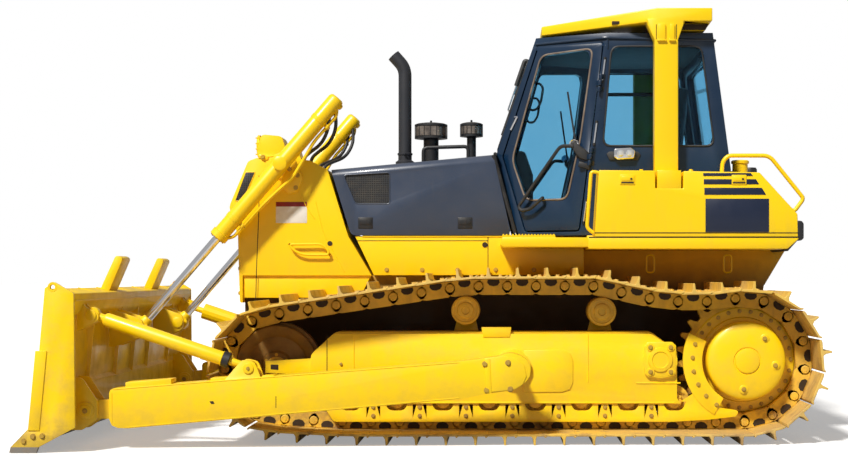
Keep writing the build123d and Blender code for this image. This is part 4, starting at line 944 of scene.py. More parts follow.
def make_link():
    """The steel of one link between its two rails: plates, pin ends and bushing."""
    shape = bmesh.new()
    for side in (1, -1):
        rows = [(-40, -18), (-36, 18), (-8, 40), (34, 51), (170, 51), (214, 44), (238, 16), (238, -22),
                (214, -48), (176, -62), (26, -62), (-16, -50)]
        add_side_plate(shape, rows, side, LINK_INNER_Y, LINK_OUTER_Y, 4, 1)
        add_turned(shape, [(0, 0), (24, 0), (30, -5), (30, -26)], (0, side * 116, 0), Y * side, 14)
        add_turned(shape, [(13, 0), (13, 3), (0, 3)], (0, side * 115, 0), Y * side, 10)
    add_turned(shape, [(30, 0), (33, 4), (33, 116), (30, 120)], (LINK_PITCH, -60, 0), Y, 14)
    return shape


def make_link_hollow_shade():
    """The shadowed half-moon openings under the shoe, set in the outer plate's faces."""
    shape = bmesh.new()
    for side in (1, -1):
        rows = [(64, 44), (60, 24), (76, 4), (104, -2), (132, 4), (148, 24), (144, 44)]
        # painted shade: thin dark plates in the openings
        add_side_plate(shape, rows, side, LINK_OUTER_Y - 2, LINK_OUTER_Y + 1.2, 0)
    return shape


def make_shoe():
    """One wide shoe: its plate with a lapped trailing lip, the single grouser and four bolts."""
    shape = bmesh.new()
    half = SHOE_WIDTH / 2
    section = [(-14, 49), (-18, 61), (2, PLATE_TOP), (54, PLATE_TOP), (60, 84), (62, 126), (75, 126),
               (80, 84), (92, PLATE_TOP), (184, PLATE_TOP), (196, 76), (206, 72), (190, 52)]
    add_plate(shape, section, -half, half, 2.5, segments=1)
    for x in (26, 152):
        for y in (-86, 86):
            add_bolt(shape, (x, y, 66), Z, 13, 11)
    return shape


def repeat(source, matrices, shift=(0, 0, 0)):
    """Copies of one shape at each matrix, as one shape."""
    mesh = bpy.data.meshes.new("repeat")
    source.to_mesh(mesh)
    source.free()
    result = bmesh.new()
    for matrix in matrices:
        copy = bmesh.new()
        copy.from_mesh(mesh)
        bmesh.ops.transform(copy, matrix=Matrix.Translation(shift) @ matrix, verts=copy.verts)
        spare = bpy.data.meshes.new("spare")
        copy.to_mesh(spare)
        copy.free()
        result.from_mesh(spare)
        bpy.data.meshes.remove(spare)
    bpy.data.meshes.remove(mesh)
    return result


def build_tracks():
    """Both tracks in links and shoes, with painted shade in the links' openings."""
    for side, label in SIDES:
        place = (0, side * TRACK_Y, 0)
        node = "track_" + label
        keep(repeat(make_link(), LINKS, place), f"track_links_{label}", STEEL["track"], "chassis", (node,))
        keep(repeat(make_link_hollow_shade(), LINKS, place), f"link_opening_shade_{label}", STEEL["shade"], "chassis",
             (node,))
        keep(repeat(make_shoe(), LINKS, place), f"track_shoes_{label}", STEEL["grouser"], "chassis",
             (node,))


build_tracks()

# ---- rollers, idlers, sprockets ----------------------------------------------------------
def roller_z(x, radius, above):
    """The height of a roller's centre at X that touches the rails of the run over or under it."""
    sign = 1 if above else -1
    best = None
    for matrix in LINKS:
        pin, run, out = matrix.translation, matrix.col[0].to_3d(), matrix.col[2].to_3d()
        low, high = sorted((pin.x, pin.x + run.x * LINK_PITCH))
        if (out.z < -0.5) != above or x < low - LINK_PITCH or x > high + LINK_PITCH:
            continue
        z = pin.z + (-(PIN_TO_RAIL + radius) - (x - pin.x) * out.x) / out.z
        best = z if best is None else sign * max(sign * best, sign * z)
    return best


ROLLER_RADIUS = 92
ROLLER = [(0, -118), (60, -118), (60, -104), (ROLLER_RADIUS, -100), (ROLLER_RADIUS, -60), (66, -52),
          (66, 52), (ROLLER_RADIUS, 60), (ROLLER_RADIUS, 100), (108, 104), (108, 120), (62, 122), (58, 134),
          (0, 134)]
CARRIER_RADIUS = 100
CARRIER_ROLLER = [(0, -118), (62, -118), (CARRIER_RADIUS, -112), (CARRIER_RADIUS, 118), (96, 128),
                  (84, 132), (78, 126), (60, 124), (52, 134), (30, 138), (24, 130), (0, 130)]


def build_rollers():
    """The track rollers, their end caps and the carrier rollers of both tracks."""
    wheels, caps = bmesh.new(), bmesh.new()
    for side, _ in SIDES:
        y = side * TRACK_Y
        for index in range(ROLLER_COUNT):
            x = FRONT_ROLLER_X - ROLLER_PITCH * index
            z = roller_z(x, ROLLER_RADIUS, True)
            add_turned(wheels, ROLLER, (x, y, z), Y * side, 28)
            add_turned(caps, [(58, 0), (52, 20), (34, 26), (0, 27)], (x, y + side * 134, z), Y * side, 20)
            for turn in (-1, 1):
                add_bolt(caps, (x + turn * 40, y + side * 152, z + 26), Y * side, 9, 8)
        for x in CARRIER_XS:
            z = roller_z(x, CARRIER_RADIUS, False)
            add_turned(wheels, CARRIER_ROLLER, (x, y, z), Y * side, 40)
    keep(wheels, "track_rollers", STEEL["track"], "chassis", ("rollers",))
    keep(caps, "roller_caps", STEEL["track"], "chassis", ("rollers",))


IDLER_HUB_END = 118
HUB_BOLT_RADIUS = 82


def build_idlers():
    """The front idlers: a rimmed disc with a centre flange, a hub with a dark hollow."""
    wheels, hubs = bmesh.new(), bmesh.new()
    tread = (IDLER_PIN_RADIUS**2 - (LINK_PITCH / 2) ** 2) ** 0.5 - PIN_TO_RAIL
    for side, _ in SIDES:
        place = (IDLER[0], side * TRACK_Y, IDLER[1])
        rows = []
        for sign in (-1, 1):
            half = [(70, 118), (96, 116), (110, 92), (206, 76), (226, 96), (tread - 8, 108),
                    (tread - 1, 102), (tread - 1, 50), (tread + 20, 44)]
            rows += [(radius, sign * distance) for radius, distance in (half if sign < 0 else half[::-1])]
        rows = [(0, -IDLER_HUB_END)] + rows + [(0, IDLER_HUB_END)]
        add_turned(wheels, rows, place, Y * side, 56)
        outer = (IDLER[0], side * (TRACK_Y + IDLER_HUB_END), IDLER[1])
        add_turned(hubs, [(70, 0), (66, 10), (46, 12), (40, 4), (0, 4)], outer, Y * side, 28)
        hub_face = side * (TRACK_Y + IDLER_HUB_END - 1)
        for spot in round_spots(IDLER, HUB_BOLT_RADIUS, range(30, 390, 60), hub_face):
            add_bolt(hubs, spot, Y * side, 9, 7)
    # the wheels take the darkened idler paint, which is painted shade from the track over them
    keep(wheels, "idler_wheels", STEEL["idler"], "chassis", ("idlers",))
    keep(hubs, "idler_hubs", STEEL["track"], "chassis", ("idlers",))


def tooth_rows():
    """The sprocket's toothed outline round its centre, in X and Z."""
    root, tip = SPROCKET_PIN_RADIUS - 26, SPROCKET_PIN_RADIUS + 26
    step = 2 * pi / SPROCKET_TEETH
    profile = ((-0.42, root - 2), (-0.34, root), (-0.24, root + 14), (-0.14, tip - 8), (-0.07, tip),
               (0.07, tip), (0.14, tip - 8), (0.24, root + 14), (0.34, root), (0.42, root - 2))
    rows = []
    for index in range(SPROCKET_TEETH):
        middle = FIRST_PIN_ANGLE + LINK_ANGLE / 4 + step * index
        for turn, radius in profile:
            angle = middle + turn * step
            rows.append((SPROCKET[0] + radius * cos(angle), SPROCKET[1] + radius * sin(angle)))
    return rows


SPROCKET_HALF_THICKNESS = 34
SEGMENT_BOLT_RADIUS = 338
DRIVE_PLUG_RADIUS = 195
DRIVE_PLUG_ANGLES = (128, 189, 277)
DRIVE_COVER = [(368, 0), (360, 6), (300, 8), (292, 30), (271, 34), (271, 196), (268, 208), (258, 218),
               (236, 224), (214, 231), (120, 240), (96, 241), (92, 235), (86, 235), (82, 246), (60, 251),
               (0, 254)]


def build_sprockets():
    """The sprocket rims with their bolted segments, and the domed final drive covers."""
    rims, covers, bolts = bmesh.new(), bmesh.new(), bmesh.new()
    for side, _ in SIDES:
        middle = side * TRACK_Y
        add_plate(rims, tooth_rows(), middle - SPROCKET_HALF_THICKNESS, middle + SPROCKET_HALF_THICKNESS, 0)
        face = side * (TRACK_Y + SPROCKET_HALF_THICKNESS)
        add_turned(covers, DRIVE_COVER, (SPROCKET[0], face, SPROCKET[1]), Y * side, 72)
        turns = [360 * (index + 0.5) / SPROCKET_TEETH for index in range(SPROCKET_TEETH)]
        for spot in round_spots(SPROCKET, SEGMENT_BOLT_RADIUS, turns, face + side * 7):
            add_bolt(bolts, spot, Y * side, 11, 9)
        for spot in round_spots(SPROCKET, DRIVE_PLUG_RADIUS, DRIVE_PLUG_ANGLES, face + side * 232):
            add_turned(covers, [(34, -8), (32, 2), (24, 6), (0, 6)], spot, Y * side, 24)
            add_bolt(bolts, spot + Y * side * 6, Y * side, 13, 9)
    keep(rims, "sprocket_rims", STEEL["track"], "chassis", ("sprockets",))
    keep(covers, "final_drive_covers", STEEL["yellow"], "chassis", ("sprockets",))
    keep(bolts, "sprocket_bolts", STEEL["bolt"], "chassis", ("sprockets",))


build_rollers()
build_idlers()
build_sprockets()

# ---- blade -------------------------------------------------------------------------------
BOLT_ROOM = 13
WEAR_STRIP = [(2544, 662), (2470, 662), (2518, 148), (2592, 148)]
END_BOLTS = ((2500, 112), (2560, 108), (2620, 78))
CORNER_HOLE = (2434, 1072)
EDGE_BOLT_COUNT, EDGE_BOLT_PITCH = 19, 210
BALL_CAP = [(58, 0), (56, 12), (40, 16), (36, 24), (14, 24), (12, 18), (0, 18)]
BRACE_CAP = [(38, 0), (36, 10), (20, 14), (0, 14)]
LIFT_CAP = [(44, 0), (42, 12), (24, 18), (0, 18)]


def add_ear_caps(shape, profile, pin, middle, reach, side):
    """A cap on the outside of each of the two ears that hold a pin, with its places and directions."""
    ends = []
    for facing in (-1, 1):
        spot, out = Vector((pin[0], side * (middle + facing * reach), pin[1])), Y * side * facing
        add_turned(shape, profile, spot, out)
        ends.append((spot, out))
    return ends


def build_blade():
    """The blade's skins, its pins, wear plates and bolts."""
    skins = (("blade_moldboard", BLADE_PAINT, 5), ("blade_cutting_edge", STEEL["bare"], 0),
             ("blade_brackets", STEEL["yellow"], 5))
    for node, material, width in skins:
        for vertex in softened(node, material, width).data.vertices:
            if abs(vertex.co.y) > (BLADE_HALF_WIDTH - 6) * TO_METRES:
                vertex.co.y *= 1 - BOLT_ROOM / BLADE_HALF_WIDTH
    end_y = BLADE_HALF_WIDTH - BOLT_ROOM
    bolts, caps, welds = bmesh.new(), bmesh.new(), bmesh.new()
    for side, _ in SIDES:
        add_side_plate(welds, WEAR_STRIP, side, end_y - 2, end_y + 8)
        add_side_bolts(bolts, END_BOLTS, side * end_y, side, 15, 9)
        for spot, out in add_ear_caps(caps, BALL_CAP, BALL_PIN, ARM_Y, 108, side):
            add_bolt(bolts, spot + out * 24, out, 13, 8)
        add_ear_caps(caps, BRACE_CAP, BRACE_UPPER, ARM_Y, 56, side)
        add_ear_caps(caps, LIFT_CAP, LIFT_EYE, LIFT_Y, 122, side)
        hole = (CORNER_HOLE[0], side * (end_y - 1), CORNER_HOLE[1])
        add_turned(welds, [(34, -6), (30, 3), (18, 3), (16, -6)], hole, Y * side, 32)
    for index in range(EDGE_BOLT_COUNT):
        y = EDGE_BOLT_PITCH * (index - EDGE_BOLT_COUNT // 2)
        add_bolt(bolts, (2608, y, 108), (0.69, 0, 0.73), 16, 9)
    for y in (-1780, -1300, -800, -300, 300, 800, 1300, 1780):
        add_rod(welds, [(2318, y, 1034), (2446, y, 1064)], 4, 1, 6)
    for z, x in ((985, 2298), (420, 2371), (142, 2371)):
        add_rod(welds, [(x, -1930, z), (x, 1930, z)], 5, 1, 6)
    keep(bolts, "blade_bolts", STEEL["bolt"], "blade")
    keep(caps, "blade_pin_caps", STEEL["yellow"], "blade")
    keep(welds, "blade_weld_beads", STEEL["yellow"], "blade")


def build_brace():
    """The left brace: a turned tube with an eye at each end, and a black collar over its lower neck."""
    low = Vector((BRACE_LOWER[0], ARM_Y, BRACE_LOWER[1]))
    high = Vector((BRACE_UPPER[0], ARM_Y, BRACE_UPPER[1]))
    run = (high - low).normalized()
    tube = bmesh.new()
    rows = [(24, 30), (26, 140), (26, 146), (50, 192), (52, 196), (47, 200), (47, 1004), (40, 1018),
            (30, 1024), (30, 1070)]
    add_turned(tube, rows, low, run, 36)
    add_turned(tube, [(0, -26), (44, -26), (48, -20), (48, 20), (44, 26), (0, 26)], low, Y, 32)
    add_turned(tube, [(0, -31), (50, -31), (54, -24), (54, 24), (50, 31), (0, 31)], high, Y, 32)
    keep(tube, "brace_tube", STEEL["yellow"], "blade", ("blade_brace",))
    collar = bmesh.new()
    add_turned(collar, [(28, 142), (54, 146), (54, 188), (50, 192)], low, run, 32)
    keep(collar, "brace_collar", RUBBER, "blade", ("blade_brace",))


build_blade()
build_brace()

# ---- push arms ---------------------------------------------------------------------------
ARM_CAP = [(-346, 602), (-470, 618), (-560, 600), (-612, 556), (-626, 484), (-600, 428), (-540, 394),
           (-360, 376)]
ARM_CAP_BOLTS = ((-353, 565), (-504, 572), (-364, 392), (-520, 398))
BRACE_LUG_Y = (ARM_Y - 84, ARM_Y + 84)


def build_arms():
    """The push arms' skins with their end caps, pads, a slot of painted shade and lug pins."""
    for side, label in SIDES:
        body = f"push_arm_{label}"
        softened(body, STEEL["yellow"], 7)
        detail, dark, bolts = bmesh.new(), bmesh.new(), bmesh.new()
        face = side * ARM_OUTER_Y
        seam = [(-352, 596), (-386, 600), (-396, 372), (-362, 366)]
        add_side_plate(detail, ARM_CAP, side, ARM_OUTER_Y - 2, ARM_OUTER_Y + 8, 7)
        add_side_plate(detail, seam, side, ARM_OUTER_Y + 7, ARM_OUTER_Y + 12)
        add_side_bolts(bolts, ARM_CAP_BOLTS, face + side * 8, side, 15, 10)
        # painted shade: a dark plate in a slot in the arm's face, and a dark upright line
        slot = [(1452, 300), (1464, 318), (1440, 320), (1430, 303)]
        add_side_plate(dark, slot, side, ARM_OUTER_Y - 1, ARM_OUTER_Y + 1.5, 0)
        add_bead(dark, [(1026, 352), (1026, 276)], face, 2.5)
        for y in BRACE_LUG_Y:
            facing = 1 if y > ARM_Y else -1
            out = Y * side * facing
            spot = Vector((BRACE_LOWER[0], side * y, BRACE_LOWER[1]))
            add_turned(detail, [(36, 0), (34, 9), (20, 12), (0, 12)], spot, out, 28)
            add_bolt(bolts, spot + out * 11, out, 10, 6)
        front_pad = [(1718, 466), (2021, 443), (2021, 395), (1718, 420)]
        add_side_plate(detail, front_pad, side, 1560, 1730, 4)
        for pad in ([(1316, 458), (1461, 447), (1461, 470), (1316, 482)],
                    [(1120, 466), (1040, 478), (1040, 492), (1120, 486)]):
            add_side_plate(detail, pad, side, 1570, 1725)
        add_bead(detail, [(2108, 176), (2108, 372)], face - side * 2, 5)
        add_bead(detail, [(2100, 396), (1880, 414), (-180, 574)], face, 3)
        add_bead(detail, [(2010, 146), (-180, 340)], face, 3)
        keep(detail, f"arm_plates_{label}", STEEL["yellow"], body)
        keep(dark, f"arm_slot_shade_{label}", STEEL["shade"], body)
        keep(bolts, f"arm_bolts_{label}", STEEL["bolt"], body)


build_arms()

# ---- track frames ------------------------------------------------------------------------
FRAME_PANEL = [(-612, 630), (-880, 636), (-938, 610), (-956, 560), (-956, 410), (-936, 360), (-880, 342),
               (-612, 340)]
PIVOT_COVER = [(-1450, 660), (-1470, 688), (-1640, 690), (-1668, 664), (-1668, 470), (-1640, 444),
               (-1476, 444), (-1450, 470)]
PIVOT_CAP = (-1558, 566)
GUARD_BOLT_ZS = (176, 236)
RIM_BOLT_ANGLES = range(18, -58, -15)
RIM_BOLT_RADIUS = 366


def build_frames():
    """The track frames' skins with their covers, pads, seams, painted shade in an opening, and bolts."""
    for side, label in SIDES:
        softened(f"track_frame_{label}", STEEL["yellow"], 6)
        detail, dark, bolts = bmesh.new(), bmesh.new(), bmesh.new()
        face = side * FRAME_OUTER_Y
        add_side_plate(detail, FRAME_PANEL, side, FRAME_OUTER_Y - 2, FRAME_OUTER_Y + 9, 5)
        step = [(-333, 720), (-520, 720), (-530, 790), (-322, 790)]
        add_side_plate(detail, step, side, FRAME_OUTER_Y - 120, FRAME_OUTER_Y + 6, 5)
        add_side_plate(detail, PIVOT_COVER, side, FRAME_OUTER_Y, FRAME_OUTER_Y + 27, 6)
        cap = [(86, 0), (82, 10), (58, 14), (54, 8), (0, 8)]
        add_turned(detail, cap, (PIVOT_CAP[0], face + side * 27, PIVOT_CAP[1]), Y * side, 36)
        for x in (-1490, -1630):
            for z in (482, 652):
                add_turned(detail, [(28, 0), (26, 8), (0, 9)], (x, face + side * 26, z), Y * side, 20)
                add_bolt(bolts, (x, face + side * 34, z), Y * side, 13, 8)
        add_bead(detail, [(-1390, 404), (-1700, 404)], face, 6)
        add_bead(detail, [(640, 268), (-1660, 268)], face, 6)
        add_bead(detail, [(740, 404), (-600, 404)], face)
        for x in (560, -1060):
            add_bead(detail, [(x, 742), (x, 410)], face)
        add_bead(dark, [(746, 737), (746, 430)], face, 3)
        add_turned(bolts, [(11, 0), (9, 10), (0, 12)], (649, face, 536), Y * side, 14)
        gaps = [FRONT_ROLLER_X - ROLLER_PITCH * (index + 0.5) for index in range(ROLLER_COUNT - 1)]
        places = [(x, z) for x in gaps for z in GUARD_BOLT_ZS]
        add_side_bolts(bolts, places, face - side * 12, side, 12, 8)
        for spot in round_spots(SPROCKET, RIM_BOLT_RADIUS, RIM_BOLT_ANGLES, face - side * 5):
            add_bolt(bolts, spot, Y * side, 12, 8)
        # painted shade: a dark plate set back in the frame's opening beside the idler's axle
        window = [(1085, 492), (1140, 497), (1140, 532), (1085, 530)]
        add_side_plate(dark, window, side, FRAME_OUTER_Y - 58, FRAME_OUTER_Y - 24, 2)
        keep(detail, f"frame_covers_{label}", STEEL["yellow"], "chassis")
        keep(dark, f"frame_seams_and_shade_{label}", STEEL["shade"], "chassis")
        keep(bolts, f"frame_bolts_{label}", STEEL["bolt"], "chassis")


build_frames()

# ---- radiator guard ----------------------------------------------------------------------
GUARD_VENT = [(1409, 1905), (1339, 1905), (1430, 1694), (1488, 1694)]
GUARD_SEAM = [(1312, 1880), (1312, 1640), (1330, 1200), (1336, 960)]
GUARD_FOLDS = ([(1125, 1998), (960, 1640), (905, 1565)], [(900, 1690), (842, 1455), (690, 1175)])
STEP_LOOP = [(1091, 1376), (1040, 1322), (976, 1300), (802, 1300), (800, 1330), (848, 1378)]
LIFT_YOKE = [(1030, 1760), (990, 1850), (1000, 1905), (1060, 1950), (1110, 1930), (1150, 1850),
             (1140, 1790), (1090, 1745)]
YOKE_BOLTS = ((1040, 1790), (1028, 1880), (1086, 1925))
GUARD_SKIRT = [(1430, 985), (1430, 1152), (492, 1152), (575, 985)]
LAMP_X, LAMP_Y, LAMP_Z = 1322, 430, 2105
GRILLE_FRAME_XS = (1458, 1466)


def build_guard():
    """The housing at the front: skin, side vents, seams, loops, plugs, lamps and a blank sign."""
    softened("radiator_guard", STEEL["yellow"], 9)
    softened("grille", STEEL["black"], 3)
    detail, dark, bolts, lenses, screens, signs = (bmesh.new() for _ in range(6))
    wall = GUARD_HALF_WIDTH
    for side, _ in SIDES:
        face = side * wall
        add_side_plate(screens, GUARD_VENT, side, wall - 1, wall + 3, 1)
        add_ring(detail, GUARD_VENT, face + side, 3.5, 12)
        add_bead(dark, GUARD_SEAM, face, 3, 60)
        for (fold, corner) in zip(GUARD_FOLDS, (40, 60)):
            add_bead(detail, fold, face, 4, corner, 8)
        add_ring(detail, STEP_LOOP, face + side * 34, 9, 36, 10)
        for x, z in ((1091, 1376), (802, 1302)):
            add_turned(detail, [(9, 0), (9, 34)], (x - 8, face, z), Y * side, 12)
        add_turned(dark, [(18, 0), (18, 4), (0, 5)], (793, face, 1383), Y * side, 20)
        add_side_plate(signs, oblong(961, 1188, 1533, 1687), side, wall, wall + 2, 0.8)
        add_side_plate(detail, GUARD_SKIRT, side, 482, 560, 5)
        add_side_plate(detail, LIFT_YOKE, side, wall - 4, wall + 26, 8)
        add_side_bolts(bolts, YOKE_BOLTS, face + side * 26, side, 13, 9)
        lamp = (LAMP_X, side * LAMP_Y, LAMP_Z)
        add_turned(detail, [(82, 0), (84, 16), (78, 20), (76, 6)], lamp, X, 36)
        add_turned(lenses, [(76, 8), (60, 16), (30, 20), (0, 21)], lamp, X, 36)
        for z in (2040, 2080, 2120, 2160):
            add_bead(detail, [(1306, z), (1340, z - 4)], side * 556, 5)
        add_bead(detail, [(1290, 2010), (1130, 2040)], side * 561)
        bracket = [(1250, 1992), (1320, 2010), (1310, 2036), (1240, 2020)]
        add_side_plate(detail, bracket, side, 545, 590, 6)
        add_bolt(bolts, (1282, side * 590, 2014), Y * side, 14, 9)
    for z in (1215, 1885):
        for y in (-430, -215, 0, 215, 430):
            add_bolt(bolts, (1445, y, z), X, 12, 8)
    low_x, high_x = GRILLE_FRAME_XS
    for y in (-540, 540):
        for x, z in ((low_x, 1020), (low_x, 1200), (low_x, 1380), (high_x, 1560)):
            add_bolt(bolts, (x, y, z), X, 13, 8)
    keep(detail, "guard_fittings", STEEL["yellow"], "chassis")
    keep(dark, "guard_seams", STEEL["shade"], "chassis")
    keep(bolts, "guard_bolts", STEEL["bolt"], "chassis")
    keep(lenses, "headlamp_lenses", LENS, "chassis")
    keep(screens, "guard_vents", SCREEN, "chassis")
    keep(signs, "blank_signs", SIGN, "chassis")


build_guard()

# ---- hood --------------------------------------------------------------------------------
def hood_top(x):
    """The height of the hood's top at X."""
    slope = (HOOD_REAR[1] - HOOD_FRONT[1]) / (HOOD_REAR[0] - HOOD_FRONT[0])
    return HOOD_FRONT[1] + (x - HOOD_FRONT[0]) * slope


COVER_WINDOW = [(699, 1885), (355, 1905), (355, 1673), (610, 1673)]
COVER_SCREEN = [(710, 1892), (345, 1914), (345, 1664), (604, 1664)]
LATCH_XS = (535, -195)


def build_covers():
    """The hinged engine covers' skins with their mesh windows and latches, and the fixed strip."""
    softened("hood_centre", STEEL["hood"], 6)
    wall = HOOD_HALF_WIDTH
    for side, label in SIDES:
        body = f"engine_cover_{label}"
        softened(body, STEEL["hood"], 6)
        screen, latches, rim = bmesh.new(), bmesh.new(), bmesh.new()
        add_side_plate(screen, COVER_SCREEN, side, wall - 13, wall - 9, 0)
        add_ring(rim, COVER_WINDOW, side * (wall - 1), 4, 25)
        for x in LATCH_XS:
            add_side_plate(latches, oblong(x - 54, x + 54, 1492, 1576), side, wall - 4, wall + 5, 5)
            add_side_plate(latches, oblong(x - 44, x + 44, 1520, 1566), side, wall + 4, wall + 10, 4)
            lock = (x - 28, side * (wall + 10), 1543)
            add_turned(latches, [(12, 0), (11, 4), (0, 5)], lock, Y * side, 16)
        keep(screen, f"cover_screen_{label}", SCREEN, body)
        keep(rim, f"cover_rim_{label}", STEEL["hood"], body)
        keep(latches, f"cover_latches_{label}", STEEL["black"], body)


STACK_X = 278
STACK_FOOT = [(0, -2), (70, -2), (72, 6), (72, 46), (60, 54), (52, 60), (52, 96), (58, 100), (58, 112),
              (50, 116)]


def build_stack():
    """The exhaust pipe with its bent, open tip and its foot clamp."""
    stack = bmesh.new()
    foot = hood_top(STACK_X)
    line = rounded_line([(STACK_X, 0, foot + 40), (STACK_X, 0, 2740), (366, 0, 2838)], 120, 12)
    bore = line[:-7:-1]
    rings = rings_along(stack, line, 50, 28) + rings_along(stack, bore, 45, 28)
    for first, second in zip(rings, rings[1:]):
        bmesh.ops.bridge_loops(stack, edges=ring_edges(first) + ring_edges(second))
    bmesh.ops.recalc_face_normals(stack, faces=stack.faces)
    add_turned(stack, STACK_FOOT, (STACK_X, 0, foot), Z, 32)
    for side, _ in SIDES:
        add_bolt(stack, (STACK_X, side * 58, foot + 106), Y * side, 9, 18)
    keep(stack, "exhaust_stack", STEEL["soot"], "chassis", ("exhaust",))


CLEANERS = ((78, 58, 122, 2196, 2322), (-232, 35, 84, 2212, 2326))
BOWL_RIBS = 16


def build_cleaners():
    """The air pre-cleaners: stems, clear-sided bowls and lids with a wing nut."""
    stems, bowls = bmesh.new(), bmesh.new()
    for x, stem, bowl, low, high in CLEANERS:
        foot = hood_top(x)
        rows = [(stem + 10, 0), (stem + 10, 18), (stem, 22), (stem, low - foot - 8),
                (stem + 8, low - foot - 4), (bowl - 12, low - foot), (bowl + 4, low - foot + 2),
                (bowl + 4, low - foot + 18), (bowl - 4, low - foot + 20)]
        add_turned(stems, rows, (x, 0, foot), Z, 36)
        lid = [(bowl - 4, -34), (bowl + 4, -30), (bowl + 4, -16), (bowl * 0.86, -8), (bowl * 0.5, -2),
               (12, 0), (8, 2), (8, 16), (0, 18)]
        add_turned(stems, lid, (x, 0, high), Z, 36)
        clear = [(bowl - 6, low - high + 18), (bowl, low - high + 22), (bowl, -34), (bowl - 8, -30)]
        add_turned(bowls, clear, (x, 0, high), Z, 36)
        for index in range(BOWL_RIBS):
            turn = 2 * pi * index / BOWL_RIBS
            rib_x, rib_y = x + (bowl + 1) * cos(turn), (bowl + 1) * sin(turn)
            add_rod(stems, [(rib_x, rib_y, low + 16), (rib_x, rib_y, high - 30)], 3, 1, 5)
    keep(stems, "pre_cleaner_bodies", STEEL["black"], "chassis", ("pre_cleaners",))
    keep(bowls, "pre_cleaner_bowls", SMOKE, "chassis", ("pre_cleaners",))


def build_hood_handle():
    """The black grab handle on the hood's shoulder."""
    handle = bmesh.new()
    low = hood_top(0)
    rail = [(130, low - 6), (130, 2118), (-210, 2128), (-210, low + 10)]
    add_bead(handle, rail, 150, 14, 34, 12)
    keep(handle, "hood_handle", STEEL["black"], "chassis", ("handrails",))


build_covers()
build_stack()
build_cleaners()
build_hood_handle()

# ---- cab ---------------------------------------------------------------------------------
DOOR_WINDOW = [(-752, 2763), (-1122, 2788), (-1030, 2128), (-935, 1700), (-640, 1700), (-540, 2000)]
SIDE_WINDOW = [(-1252, 2795), (-1899, 2795), (-1990, 2080), (-1190, 2080)]
WINDSHIELD = ((-686, 2805), (-418, 2028))
LOWER_PANE = ((-418, 2028), (-590, 1438))
HINGE_LOW = (-1044, 1524)
HINGE_HIGH = (-1195, 2675)
WALL_Y = 790
DOOR_TURN_IN = 0.5201
DOOR_LEAN_IN = 0.0682
WINDOW_RISE = 85
DOOR_RISE = 45
CAB_ROOF_Z = 2800
CAB_SILL_Z = 1490
CAB_SEAM_YS = (735, 425)
CAB_FLOOR_Z = 1488


def door_y(x, z):
    """How far out the left door's plane stands at X and Z."""
    return WALL_Y - DOOR_TURN_IN * (x - HINGE_LOW[0]) - DOOR_LEAN_IN * (z - HINGE_LOW[1])


def hinge_x(z):
    """Where the door's hinge line stands at Z."""
    share = (z - HINGE_LOW[1]) / (HINGE_HIGH[1] - HINGE_LOW[1])
    return HINGE_LOW[0] + (HINGE_HIGH[0] - HINGE_LOW[0]) * share


def raised(shape, test, rise):
    """Lifts the corners of a shape (in metres) that a test of x, y and z picks (in mm)."""
    for vertex in shape.verts:
        if test(*(vertex.co / TO_METRES)):
            vertex.co.z += rise * TO_METRES


def is_upper_window(x, y, z):
    """Whether a point is on the upper half of a side window's edge."""
    return x < -1190 and abs(y) > 700 and 2640 < z < 2725


def is_door_head(x, y, z):
    """Whether a point is at the head of the door or of its opening."""
    return x > -1225 and 2640 < z < 2796 and abs(y) > 480


def cab_skin():
    """The cab's welded shell: the seams between its panels closed, the edges rounded."""
    shape = node_shape("cab_shell")
    seams = []
    for face in shape.faces:
        place, normal = face.calc_center_median() / TO_METRES, face.normal
        level = abs(normal.z) > 0.99 and min(abs(place.z - z) for z in (CAB_ROOF_Z, CAB_SILL_Z)) < 0.5
        upright = abs(normal.y) > 0.99 and min(abs(abs(place.y) - y) for y in CAB_SEAM_YS) < 0.5
        if level or upright:
            seams.append(face)
    bmesh.ops.delete(shape, geom=seams, context="FACES")
    raised(shape, is_upper_window, WINDOW_RISE)
    raised(shape, is_door_head, DOOR_RISE)
    plain_faces(shape)
    eased(shape, shape.faces[:], 6 * TO_METRES)
    keep_metres(shape, "cab_skin", STEEL["cab"], "chassis", replaces=("cab_shell",))


def reshaped(node, name, material, width, test, rise):
    """A stand-in for a part's node with some corners lifted and its edges rounded."""
    shape = node_shape(node)
    raised(shape, test, rise)
    plain_faces(shape)
    eased(shape, shape.faces[:], width * TO_METRES)
    keep_metres(shape, name, material, BODY_OF[node], replaces=(node,))


